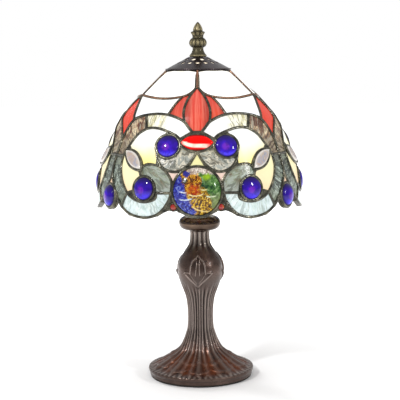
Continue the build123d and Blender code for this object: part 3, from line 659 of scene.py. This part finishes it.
SMALL_JEWEL = 4.0
for angle, height, half_length, half_width, turn, _ in JEWELS.values():
    middle, along, up, normal = seat_axes(angle, height, turn)
    large = half_length > SMALL_JEWEL
    steps, width, thick = (48, 1.45, BEAD_HALF_HEIGHT) if large else (24, 0.8, 0.9)
    for offset, share in ((0.0, 1.0), (INNER_LINE, 0.9)):
        ring = []
        for s in range(steps):
            direction = 2 * math.pi * s / steps
            reach = lens_reach(half_length, half_width, direction) + width * 0.75
            ring.append(middle + along * reach * math.cos(direction)
                        + up * reach * math.sin(direction) + normal * offset)
        widths = width * share * uneven(steps, 0.04)
        shell = ellipse_tube(ring, [normal] * steps, widths, thick, BEAD_SIDES, closed=True)
        for vertices, faces, _ in six_ways(*shell, mirrored=angle not in ON_MIRROR):
            beads.add(vertices, faces, warm=[0.0] * len(vertices))
new_piece("solder_beads", beads.vertices, beads.faces, SOLDER, "shade", "patina_lead",
          **beads.values)

# --- Jewels: heights of the front and back faces over the seat, in millimetres ---
FRONT_LIFT = 0.3
BACK_LIFT = -3.2
BACK_DOME = 0.9
FACET_TOP = 0.82


def jewel_shell(name, rings=14, steps=64, power=0.55, facets=0):
    """Domed jewel in its seat, with its own across and up as values from -1 to 1."""
    angle, height, half_length, half_width, turn, dome = JEWELS[name]
    middle, along, up, normal = seat_axes(angle, height, turn)
    vertices, across_values, up_values = [], [], []
    levels = [math.sin(0.5 * math.pi * (r + 0.4) / rings) for r in range(rings)] + [1.0]
    for side, lift, rise in ((1, FRONT_LIFT, dome), (-1, BACK_LIFT, BACK_DOME)):
        for share in levels[::side]:
            for s in range(steps):
                direction = 2 * math.pi * s / steps
                reach = lens_reach(half_length, half_width, direction) * share
                hill = (1 - share**2) ** power
                if facets and side > 0:
                    hill = min(hill, FACET_TOP) * (1 - 0.1 * abs(math.sin(direction * facets / 2)))
                x, y = reach * math.cos(direction), reach * math.sin(direction)
                vertices.append(middle + along * x + up * y + normal * (lift + side * rise * hill))
                across_values.append(x / half_length)
                up_values.append(y / half_width)
    faces = inside_out(tube_faces(2 * len(levels), steps))
    return [tuple(vertex) for vertex in vertices], faces, across_values, up_values


def make_jewel(name, material, slot, **shape):
    vertices, faces, across, up = jewel_shell(name, **shape)
    soup = Soup()
    for spun, turned, hand in six_ways(vertices, faces, mirrored=JEWELS[name][0] not in ON_MIRROR):
        soup.add(spun, turned, across=[hand * v for v in across], up=up)
    new_piece("glass_" + name, soup.vertices, soup.faces, material, "shade", slot, (name,),
              **soup.values)


def cobalt():
    g = Graph("cobalt_jewel")
    across, up = g.attribute("across"), g.attribute("up")
    # painted light through the dome: lighter low down, darker at the top, with glowing discs
    colour = g.mix(g.range(up, -0.2, -0.85), (0.022, 0.003, 0.26), (0.045, 0.02, 0.72))
    colour = g.mix(g.range(up, 0.2, 0.95), colour, (0.008, 0.001, 0.06))
    for x, y, radius, soft, share, tone in (
            (-0.06, -0.08, 0.52, 0.25, 0.6, (0.035, 0.005, 0.44)),
            (-0.12, -0.14, 0.32, 0.4, 0.8, (0.14, 0.018, 0.4))):
        centre = g.length(g.minus(across, x), g.minus(up, y))
        painted_glow_disc = g.range(centre, radius * (1 - soft), radius * (1 + soft), share, 0.0)
        colour = g.mix(painted_glow_disc, colour, tone)
    # painted shade round the dome's edge
    edge = g.range(g.length(across, up), 0.84, 1.0, 0.0, 0.85)
    colour = g.mix(edge, colour, (0.006, 0.002, 0.05))
    swirl = g.range(g.noise(150.0, 3.0, 0.5, 1.0), 0.42, 0.62, 0.0, 0.45)
    colour = g.mix(swirl, colour, (0.006, 0.002, 0.1))
    return g.glow(colour, 0.7, 1.0, Roughness=0.08, IOR=1.35)


def ruby():
    g = Graph("ruby_jewel")
    up = g.attribute("up")
    # painted shade: darker towards the top
    colour = g.mix(g.range(up, 0.5, 0.95), (0.8, 0.003, 0.002), (0.12, 0.003, 0.003))
    across = g.attribute("across")
    # painted glint: a pale band across the lower half
    curve = g.times(across, across, g.range(across, 0.2, -0.4, 0.1, 0.65))
    offset = g.minus(up, g.minus(curve, 0.54))
    painted_glint = g.range(g.math("ABSOLUTE", offset), 0.28, 0.12)
    reach = g.times(g.range(across, 0.92, 0.4), g.range(across, -1.0, -0.75))
    cloud = g.range(g.noise(160.0, 3.0), 0.3, 0.6, 0.7, 1.0)
    colour = g.mix(g.times(painted_glint, reach, cloud, 0.95), colour, (1.0, 0.8, 0.66))
    # painted shade along the lower edge
    colour = g.mix(g.range(up, -0.74, -0.95, 0.0, 0.8), colour, (0.16, 0.01, 0.008))
    return g.glow(colour, 0.6, 0.86, Roughness=0.1, IOR=1.2)


def bead_glass():
    g = Graph("ruby_bead")
    # painted light: lighter orange on one side, darker low down
    painted_lit_side = g.range(g.attribute("across"), 0.1, 0.8)
    colour = g.mix(painted_lit_side, (0.21, 0.006, 0.005), (0.27, 0.06, 0.01))
    colour = g.mix(g.range(g.attribute("up"), 0.0, -0.9), colour, (0.12, 0.003, 0.004))
    return g.glow(colour, 0.0, 0.35, Roughness=0.1, Coat_Weight=0.4,
                  Normal=g.bump(g.noise(300.0), 0.2, 0.0003))


def clear_glass_painted():
    g = Graph("clear_jewel")
    # painted reflections: the tones that clear glass takes from what it shows
    painted_reflections = g.noise(110.0, 3.0, 0.6, 1.6)
    colour = g.ramp(painted_reflections, [(0.28, (0.33, 0.34, 0.38)), (0.42, (0.52, 0.5, 0.56)),
                            (0.52, (0.58, 0.44, 0.36)), (0.62, (0.66, 0.6, 0.52)),
                            (0.78, (0.3, 0.34, 0.34))])
    # painted highlight on the facets near the edge
    reach = g.length(g.attribute("across"), g.attribute("up"))
    colour = g.mix(g.range(reach, 0.62, 0.85, 0.0, 0.9), colour, (0.9, 0.85, 0.78))
    return g.glow(colour, 0.6, 0.34, Roughness=0.12, IOR=1.4)


def mottled():
    """Crackled globe: cobalt on one side, an amber flower above, greens beyond, gold below, with
    painted glints in bright arcs.
    """
    g = Graph("mottled_globe")
    drift = g.times(g.minus(g.noise(190.0, 4.0, 0.7), 0.5), 0.45)
    sideways = g.times(g.minus(g.noise(110.0, 4.0, 0.7), 0.5), 0.55)
    true_x, true_y = g.attribute("across"), g.attribute("up")
    x, y = g.plus(true_x, sideways), g.plus(true_y, drift)

    def patch(cx, cy, radius, soft=0.25):
        distance = g.length(g.minus(x, cx), g.minus(y, cy))
        return g.range(distance, radius * (1 + soft), radius * (1 - soft))

    def rays(cx, cy, count, *tones):
        turn = g.math("ARCTAN2", g.minus(y, cy), g.minus(x, cx))
        spokes = g.plus(g.times(turn, count), g.times(drift, 18.0))
        wave = g.range(g.math("SINE", spokes), -1.0, 1.0)
        speckle = g.range(g.noise(420.0, 4.0, 0.8), 0.34, 0.66)
        mottle = g.plus(g.times(wave, 0.38), g.times(speckle, 0.62))
        return g.ramp(mottle, list(zip((0.24, 0.4, 0.58, 0.82), tones)))

    colour = rays(0.15, 0.0, 27.0, (0.022, 0.009, 0.002), (0.18, 0.075, 0.003),
                  (0.52, 0.25, 0.004), (0.95, 0.64, 0.05))
    flower = rays(-0.14, 0.06, 31.0, (0.02, 0.006, 0.002), (0.22, 0.045, 0.002),
                  (0.56, 0.18, 0.003), (0.98, 0.6, 0.04))
    green = g.ramp(g.noise(260.0, 4.0, 0.75), [
        (0.36, (0.008, 0.045, 0.014)), (0.47, (0.05, 0.17, 0.03)), (0.56, (0.15, 0.31, 0.08)),
        (0.68, (0.4, 0.54, 0.3))])
    blue = g.ramp(g.noise(330.0, 4.0, 0.75), [
        (0.36, (0.003, 0.004, 0.05)), (0.47, (0.012, 0.012, 0.32)), (0.55, (0.04, 0.065, 0.5)),
        (0.64, (0.34, 0.44, 0.8))])
    clear = g.ramp(g.noise(260.0, 3.0, 0.6, 2.5), [
        (0.38, (0.16, 0.07, 0.05)), (0.46, (0.6, 0.48, 0.4)), (0.58, (1.0, 0.92, 0.8))])
    colour = g.mix(patch(-0.22, 0.36, 0.52), colour, flower)
    embers = g.range(g.noise(300.0, 3.0, 0.7), 0.35, 0.62, 0.95, 0.35)
    colour = g.mix(g.times(patch(-0.12, 0.04, 0.24, 0.6), embers), colour, (0.6, 0.022, 0.003))
    green = g.mix(g.range(y, 0.05, -0.45, 0.0, 0.55), green, (0.3, 0.32, 0.12))
    slope = g.plus(g.times(x, 0.85), g.times(y, 0.35))
    colour = g.mix(g.range(slope, 0.3, 0.37), colour, green)
    shade = g.range(g.noise(280.0, 3.0, 0.7), 0.38, 0.6, 1.0, 0.25)
    colour = g.mix(g.times(patch(0.36, 0.22, 0.22, 0.5), shade), colour, (0.006, 0.05, 0.016))
    colour = g.mix(patch(-0.52, 0.44, 0.13, 0.5), colour, (0.012, 0.022, 0.004))
    colour = g.mix(g.times(patch(0.4, 0.6, 0.15, 0.5), 0.85), colour, (0.36, 0.6, 0.01))
    colour = g.mix(g.times(g.range(y, 0.68, 0.78), g.range(x, -0.45, -0.3)), colour, clear)
    left = g.plus(g.times(x, -0.85), g.times(y, -0.35))
    colour = g.mix(g.range(left, 0.36, 0.44), colour, blue)
    colour = g.mix(patch(-0.45, 0.76, 0.16), colour, (0.02, 0.025, 0.3))
    pale = g.times(g.range(g.cells(620.0, "F1"), 0.3, 0.12), patch(-0.32, -0.66, 0.42), 0.8)
    colour = g.mix(pale, colour, (0.36, 0.46, 0.82))

    # painted glints: thin bright arcs over the glass
    glint_up = g.plus(true_y, g.times(drift, 0.18))
    for cx, cy, radius, start, end, tone in (
            (-0.08, 0.56, 0.76, -0.42, 0.32, (1.0, 0.86, 0.42)),
            (-0.5, 0.56, 0.62, -0.8, -0.4, (0.9, 0.92, 1.0)),
            (0.55, 0.46, 0.7, 0.34, 0.84, (0.9, 1.0, 0.68)),
            (-0.5, 0.32, 0.7, -0.8, -0.16, (0.72, 0.82, 1.0)),
            (0.38, 0.02, 0.88, -0.24, 0.66, (0.98, 0.74, 0.28)),
            (0.3, 0.4, 0.36, 0.12, 0.48, (0.95, 0.88, 0.4))):
        distance = g.length(g.minus(true_x, cx), g.minus(glint_up, cy))
        share = g.times(g.range(g.math("ABSOLUTE", g.minus(distance, radius)), 0.04, 0.012),
                        g.range(true_x, start, start + 0.12), g.range(true_x, end, end - 0.12),
                        g.range(true_y, cy, cy - 0.1), 0.9)
        colour = g.mix(share, colour, tone)
    cracks = g.range(g.cells(300.0), 0.05, 0.0)
    colour = g.mix(g.times(cracks, 0.5), colour, (0.05, 0.03, 0.02))
    bumps = g.minus(g.noise(120.0, 2.0), g.times(cracks, 0.4))
    return g.glow(colour, 0.75, 0.58, Roughness=0.14, IOR=1.35, Normal=g.bump(bumps, 0.45, 0.0008))


make_jewel("red_navette", ruby(), "ruby_glass")
COBALT = cobalt()
for blue in ("upper_jewel", "lower_jewel", "rim_jewel"):
    make_jewel(blue, COBALT, "cobalt_glass")
make_jewel("globe_jewel", mottled(), "mottled_glass", rings=22, steps=96, power=0.5)
make_jewel("bead_jewel", bead_glass(), "ruby_glass", rings=6, steps=20)
make_jewel("clear_marquise", clear_glass_painted(), "clear_jewel", facets=12)

# --- Base casting: (radius, height), outside and then the hollow ---
BASE_OUTER = [
    (10.4, 147.0), (9.7, 143.5), (10.8, 134.3), (15.7, 126.1), (21.0, 116.7), (22.7, 107.4),
    (21.5, 99.1), (17.9, 88.5), (15.0, 80.3), (13.5, 70.8), (13.0, 60.2), (13.5, 49.5),
    (15.2, 42.4), (18.4, 34.0), (23.8, 25.4), (36.2, 16.8), (44.4, 12.4), (50.0, 9.6),
    (52.4, 8.9), (53.0, 7.8), (53.0, 6.2), (51.8, 4.4), (51.6, 1.6),
]
BASE_INNER = [
    (48.6, 1.6), (48.6, 6.6), (44.6, 10.1), (36.5, 14.2), (31, 16.6), (24, 21.7), (18.4, 27.5),
    (14.6, 35), (12, 43), (10.4, 50), (10, 60.2), (10.5, 70.8), (12.1, 80.6), (15, 89.5),
    (19, 99.6), (20.1, 107.4), (18.3, 116), (13, 125), (8, 132), (5.1, 136), (5.1, 147.0),
]
STEMS = 10
VEINS = 30
FLUTES = 12
LILIES = 3
LILY_TURN = math.radians(-5)
RIM_BEADS = 60
VEIN_RISE = 0.35
COLUMNS = 540
FOOT_TOP = 30
RIM_HEIGHT = 9.3
LILY_LOW, LILY_HIGH = 91, 126
# Where each feature fades in, as (none, full): a height, or for the foot and rim a radius
GROOVES = (97.0, 85.0)
FOOT = (16.0, 32.0)
INSIDE_RIM = (51.5, 48.0)
RIM = (46.0, 50.0)
NECK_START = (126.0, 134.0)
NECK_END = (149.5, 146.5)


def fade(value, start, end):
    """0 before the start and 1 past the end."""
    return np.clip((value - start) / (end - start), 0, 1)


def hump(value, middle, reach):
    """1 in the middle, falling to 0 at the reach on both sides."""
    return np.clip(1 - np.abs(value - middle) / reach, 0, 1)


def line_steps(u, z, line):
    """For each step of a line: every point's distance from it, and its place along it."""
    for (u0, z0), (u1, z1) in zip(line, line[1:]):
        du, dz = u1 - u0, z1 - z0
        t = np.clip(((u - u0) * du + (z - z0) * dz) / (du * du + dz * dz), 0, 1)
        yield np.hypot(u - u0 - t * du, z - z0 - t * dz), t


def leaf_height(u, z, spine, width):
    """Raised leaf along a spine of (u, z) points: pointed at both ends, ridged in the middle."""
    spine = np.array(catmull(spine, 6))
    steps = np.hypot(*np.diff(spine, axis=0).T)
    places = np.concatenate([[0], np.cumsum(steps)]) / steps.sum()
    best = np.full(u.shape, np.inf)
    where = np.zeros(u.shape)
    for (distance, t), p0, p1 in zip(line_steps(u, z, spine), places, places[1:]):
        nearer = distance < best
        best = np.where(nearer, distance, best)
        where = np.where(nearer, p0 + (p1 - p0) * t, where)
    half = width * np.sin(np.pi * np.clip(where, 0.02, 0.99) ** 0.75) + 0.05
    body = np.clip(1 - (best / half) ** 2, 0, 1) ** 0.6
    return body * (1 + VEIN_RISE * np.exp(-(best / (0.16 * width)) ** 2))


def stroke_height(u, z, spine, width, height):
    """Raised line along a spine of (u, z) points, thinning a little towards its ends."""
    line = np.array(catmull(spine, 6))
    relief = np.zeros(u.shape)
    for index, (distance, _) in enumerate(line_steps(u, z, line)):
        place = (index + 0.5) / (len(line) - 1)
        half = width * (0.65 + 0.35 * math.sin(math.pi * place))
        relief = np.maximum(relief, height * np.clip(1 - (distance / half) ** 2, 0, 1) ** 0.7)
    return relief


def lily_relief(u, z):
    """The bud of a lily with its inner petals, outer petals and sepals."""
    side = np.abs(u)
    fill = 0.5 * leaf_height(side, z, [(0.0, 93.0), (1.5, 103), (1.5, 113), (0.0, 123)], 6.2)
    wing = 0.6 * leaf_height(
        side, z, [(1.0, 95.0), (6.0, 101.5), (10.0, 105.0), (14.6, 107.0)], 2.4)
    relief = np.maximum(fill, wing)
    for spine, width, height in (
            ([(7.4, 106.5), (6.9, 113.0), (5.2, 119.0), (2.4, 121.6), (0.4, 124.2)], 1.1, 1.9),
            ([(2.4, 121.6), (1.2, 117.5), (1.6, 111.0), (2.2, 104.5)], 0.9, 1.5),
            ([(7.4, 106.5), (10.6, 107.4), (14.6, 107.0)], 0.8, 1.6),
            ([(14.6, 107.0), (10.4, 103.4), (5.4, 98.6), (0.0, 92.6)], 1.15, 1.8),
            ([(7.4, 106.5), (4.6, 101.4), (0.8, 96.5)], 0.7, 1.4)):
        relief = np.maximum(relief, stroke_height(side, z, spine, width, height))
    return relief


def ridges(turns, count, sharpness):
    """Rounded ridges round the axis, from 0 in the grooves to 1 on the crests."""
    return (0.5 + 0.5 * np.cos(count * turns)) ** sharpness


def pad_edges(turns, radius):
    """Raised scalloped edges of the lily pads that lie on the foot."""
    pads = np.zeros(len(turns))
    for reach, scallop, count, phase in ((45.0, 5.0, 5, 0.0), (35.0, 6.0, 5, math.pi / 2)):
        edge = reach - scallop * (1 - np.abs(np.cos(count * turns + phase)) ** 0.5)
        pads = np.maximum(pads, np.exp(-((radius - edge) / 1.1) ** 2))
    return pads


def base_rows():
    """Rows of the casting: outside with its stems, flutes and lilies, then the hollow."""
    turns = 2 * np.pi * np.arange(COLUMNS) / COLUMNS
    sway = turns + 0.035 * np.sin(3 * turns + 1.3) + 0.02 * np.sin(7 * turns + 0.4)
    stems, veins = ridges(sway, STEMS, 0.8), ridges(sway, VEINS, 1.3)
    fine = ridges(turns, RIM_BEADS, 0.7)
    flutes = ridges(turns, FLUTES, 0.55)
    folded = (turns - LILY_TURN + np.pi / LILIES) % (2 * np.pi / LILIES) - np.pi / LILIES
    rows, relief_values, rust_values = [], [], []
    for radius, height in catmull(BASE_OUTER, 9):
        below_bulge = fade(height, *GROOVES)
        on_foot = fade(radius, *FOOT) * below_bulge
        low = height < FOOT_TOP
        before_rim = fade(radius, *INSIDE_RIM) if low else 1.0
        pads = pad_edges(sway, radius) * before_rim if low else 0.0
        neck = fade(height, *NECK_START) * fade(height, *NECK_END)
        rim = hump(height, RIM_HEIGHT, 1.3) * fade(radius, *RIM)
        out = below_bulge * before_rim * (
            (0.55 + 2.0 * on_foot) * (stems - 0.75) + (0.95 + 0.35 * on_foot) * (veins - 1.0))
        out = out + 1.1 * pads + neck * 1.15 * (flutes - 1.0) + 0.7 * rim * (fine - 0.7)
        lily = np.zeros(COLUMNS)
        if LILY_LOW < height < LILY_HIGH:
            lily = lily_relief(folded * radius, np.full(COLUMNS, height))
            out = np.where(lily > 0.05, np.maximum(out, 0) + lily, out)
        rows.append((height, radius + out))
        # tone: the relief value that the material turns into dark grooves and light crests, patina
        # and wear with painted shade and highlight
        tone = np.full(COLUMNS, 0.5) + below_bulge * before_rim * (0.95 * veins + 0.2 * stems - 0.5)
        tone = tone + neck * (flutes - 0.5) + rim * (fine - 0.35) + 0.5 * pads
        tone = np.where(lily > 0.02, 0.3 + 0.7 * fade(lily, 0.75, 1.45), tone)
        relief_values.append(np.clip(tone, 0, 1))
        rust_values.append(on_foot * before_rim * np.clip(1.3 - stems, 0, 1))
    for radius, height in BASE_INNER:
        rows.append((height, np.full(COLUMNS, radius)))
        relief_values.append(np.full(COLUMNS, 0.45))
        rust_values.append(np.zeros(COLUMNS))
    return rows, relief_values, rust_values


base, base_relief, base_rust = base_rows()
new_piece("base_sculpted", lathe(base, COLUMNS), inside_out(tube_faces(len(base), COLUMNS, True)),
          base_metal(), "stand", "bronze_casting", ("base_casting",),
          relief=np.concatenate(base_relief), rust=np.concatenate(base_rust))

# --- Finial ---
FINIAL_COLUMNS = 192
BALL_HEIGHT = 333.8
CROWN_HEIGHT = 342.4
BUD_START = (344.8, 346.3)
BUD_END = (353.8, 351.8)
WORN_AND_HIGHLIT_EDGES = ((320.4, 321.8), (343.0, 343.9))
FINIAL_OUTER = [
    (8.0, 320.0), (8.5, 320.7), (8.3, 321.5), (6.6, 323.8), (5.4, 326.8), (5.5, 328.8),
    (7.3, 330.1), (8.6, 332.6), (8.5, 334.8), (7.2, 337.2), (5.5, 338.6), (5.4, 340.2),
    (6.0, 342.0), (7.0, 343.4), (6.3, 344.4), (4.9, 345.0), (4.9, 346.6), (4.2, 348.8),
    (3.1, 350.9), (1.6, 352.8), (0.3, 353.9),
]


def finial_rows():
    turns = 2 * np.pi * np.arange(FINIAL_COLUMNS) / FINIAL_COLUMNS
    rows, relief_values = [], []
    for radius, height in catmull(FINIAL_OUTER, 6):
        ball = hump(height, BALL_HEIGHT, 4.9)
        crown = hump(height, CROWN_HEIGHT, 2.6)
        bud = fade(height, *BUD_START) * fade(height, *BUD_END)
        lobes = np.abs(np.cos(6 * turns)) ** 0.6
        leaves = np.abs(np.cos(4 * turns)) ** 0.8
        ribs = np.abs(np.cos(3 * turns)) ** 0.5
        out = (1.1 * np.minimum(ball * 1.8, 1) * (lobes - 1)
               + 1.5 * np.minimum(crown * 1.4, 1) * (leaves - 1) + 0.6 * bud * (ribs - 1))
        rows.append((height, np.maximum(radius + out, 0.15)))
        # tan on the lobes, leaves, ribs and edges: wear and a painted highlight
        share = np.maximum.reduce([ball * lobes, crown * leaves, bud * ribs])
        edge = 0.8 if any(low < height < high for low, high in WORN_AND_HIGHLIT_EDGES) else 0.35
        relief_values.append(np.where(ball + crown + bud > 0.1, share, edge))
    return rows, relief_values


def finial_metal():
    """Antique brass: dark olive in the hollows, tan on the ridges and edges, which is wear and a
    painted highlight.
    """
    g = Graph("antique_finial")
    relief = g.plus(g.attribute("relief"), g.times(g.minus(g.noise(300.0, 2.0), 0.5), 0.3))
    colour = g.ramp(relief, [(0.15, (0.026, 0.022, 0.011)), (0.55, (0.105, 0.088, 0.045)),
                             (1.0, (0.27, 0.225, 0.125))])
    return g.finish(Base_Color=colour, Metallic=0.7, Roughness=0.45, Coat_Weight=0.05,
                    Normal=g.bump(g.noise(500.0, 2.0), 0.25, 0.0003))


finial, finial_relief = finial_rows()
new_piece("finial_sculpted", lathe(finial, FINIAL_COLUMNS), tube_faces(len(finial), FINIAL_COLUMNS),
          finial_metal(), "finial_top", "antique_brass", ("finial",),
          relief=np.concatenate(finial_relief))

# --- Rolled edge of the cap, lighter than the cap's bronze: a painted highlight ---
RIM_STEPS = 180
CAP_RADIUS = 31.7
CAP_EDGE = 307.85
CAP_ROLL = 0.78
CAP_SIDES = 14
cap_line = [around(CAP_RADIUS, 2 * math.pi * s / RIM_STEPS, CAP_EDGE) for s in range(RIM_STEPS)]
rolled = ellipse_tube(cap_line, [Vector((0, 0, 1))] * RIM_STEPS, [CAP_ROLL] * RIM_STEPS, CAP_ROLL,
                      CAP_SIDES, closed=True)
new_piece("cap_rim", *rolled, ROLLED_HIGHLIT, "shade", "bronze_casting")

# --- Painted glow of the bulb on the underside of the cap: a thin lit sheet, seen through its holes ---
GLOW_SHEET = [(25.0, 309.9), (19.0, 313.1), (16.6, 314.0), (11.6, 316.9), (9.8, 317.9)]
GLOW_SHEET_THICKNESS = 0.25
GLOW_SHEET_COLUMNS = 72


# painted light: a glowing sheet standing for the bulb's light under the cap
def warm_liner():
    g = Graph("cap_painted_glow")
    return g.glow(g.cloud(90.0, 3.0, (0.98, 0.8, 0.55), (1.0, 0.95, 0.8)), 0.0, 0.8, Roughness=0.6)


glow_sheet = [(z, np.full(GLOW_SHEET_COLUMNS, r)) for r, z in GLOW_SHEET]
glow_sheet += [(z - GLOW_SHEET_THICKNESS, np.full(GLOW_SHEET_COLUMNS, r)) for r, z in reversed(GLOW_SHEET)]
new_piece("cap_painted_glow", lathe(glow_sheet, GLOW_SHEET_COLUMNS),
          inside_out(tube_faces(len(glow_sheet), GLOW_SHEET_COLUMNS, True)), warm_liner(), "shade",
          "white_opal")

# --- Setting, light and camera ---
def plain_floor():
    """Pale floor, brighter away from the lamp so that it meets the backdrop softly."""
    g = Graph("pale_floor")
    tone = g.cloud(3.0, 2.0, (0.84, 0.84, 0.84), (0.86, 0.86, 0.86))
    x, y, _ = g.split()
    return g.finish(Base_Color=tone, Roughness=0.6, Emission_Color=tone,
                    Emission_Strength=g.range(g.length(x, y), 0.07, 0.6, 0.0, 0.9))


FLOOR_SIZE = 16
FLOOR_GAP = 0.0005
bpy.ops.mesh.primitive_plane_add(size=FLOOR_SIZE, location=(0, 0, cad_box[0][2] - FLOOR_GAP))
floor = bpy.context.object
floor.name = "floor"
floor.data.materials.append(plain_floor())


def studio_world():
    """White where the camera sees it; for the lamp, a soft light that grows with height."""
    world = bpy.data.worlds.new("studio")
    world.use_nodes = True
    sky = world.node_tree
    kinds = ("TexCoord", "SeparateXYZ", "MapRange", "LightPath", "Mix")
    direction, upward, shading, seen, choose = [
        sky.nodes.new("ShaderNode" + kind) for kind in kinds]
    for name, value in (("From Min", -0.3), ("From Max", 0.9), ("To Min", 0.3), ("To Max", 0.72)):
        shading.inputs[name].default_value = value
    choose.inputs[3].default_value = 1.0
    background = sky.nodes["Background"]
    background.inputs["Color"].default_value = (1.0, 1.0, 1.0, 1.0)
    for source, socket in (
            (direction.outputs["Generated"], upward.inputs[0]),
            (upward.outputs[2], shading.inputs["Value"]),
            (seen.outputs["Is Camera Ray"], choose.inputs[0]),
            (shading.outputs["Result"], choose.inputs[2]),
            (choose.outputs[0], background.inputs["Strength"])):
        sky.links.new(source, socket)
    return world


bpy.context.scene.world = studio_world()
LAMP_MIDDLE = Vector((0, 0, 0.2))


def soft_light(name, place, size, power, glossy=True):
    """Rectangular area light aimed at the middle of the lamp; it may stay out of reflections."""
    data = bpy.data.lights.new(name, "AREA")
    data.shape = "RECTANGLE"
    data.size, data.size_y = size
    data.energy = power
    light = bpy.data.objects.new(name, data)
    bpy.context.scene.collection.objects.link(light)
    light.location = place
    light.rotation_euler = (LAMP_MIDDLE - Vector(place)).to_track_quat("-Z", "Y").to_euler()
    light.visible_glossy = glossy


soft_light("key_left", (-0.8, -1.0, 1.1), (0.14, 0.14), 13.0)
soft_light("fill_right", (1.1, -0.7, 0.7), (0.12, 0.24), 6.0)
soft_light("back_left", (-0.9, 0.9, 0.8), (0.3, 0.6), 8.0, glossy=False)
soft_light("overhead", (0.0, 0.2, 1.5), (1.2, 1.2), 7.0, glossy=False)

CAMERA_AZIMUTH = math.radians(1.2)
CAMERA_DISTANCE = 1.1
CAMERA_HEIGHT = 0.309
CAMERA_PITCH = math.radians(6.6)
CAMERA_ROLL = math.radians(-0.55)
eye = bpy.data.cameras.new("camera")
eye.lens = 99.6
eye.sensor_width = 36.0
eye.shift_x = 0.0015
eye.shift_y = -0.01
camera = bpy.data.objects.new("camera", eye)
bpy.context.scene.collection.objects.link(camera)
camera.matrix_world = (
    Matrix.Translation(around(CAMERA_DISTANCE, CAMERA_AZIMUTH, CAMERA_HEIGHT))
    @ Matrix.Rotation(CAMERA_AZIMUTH, 4, "Z")
    @ Matrix.Rotation(math.pi / 2 - CAMERA_PITCH, 4, "X")
    @ Matrix.Rotation(CAMERA_ROLL, 4, "Z")
)
bpy.context.scene.camera = camera
bpy.context.scene.view_settings.view_transform = "Standard"
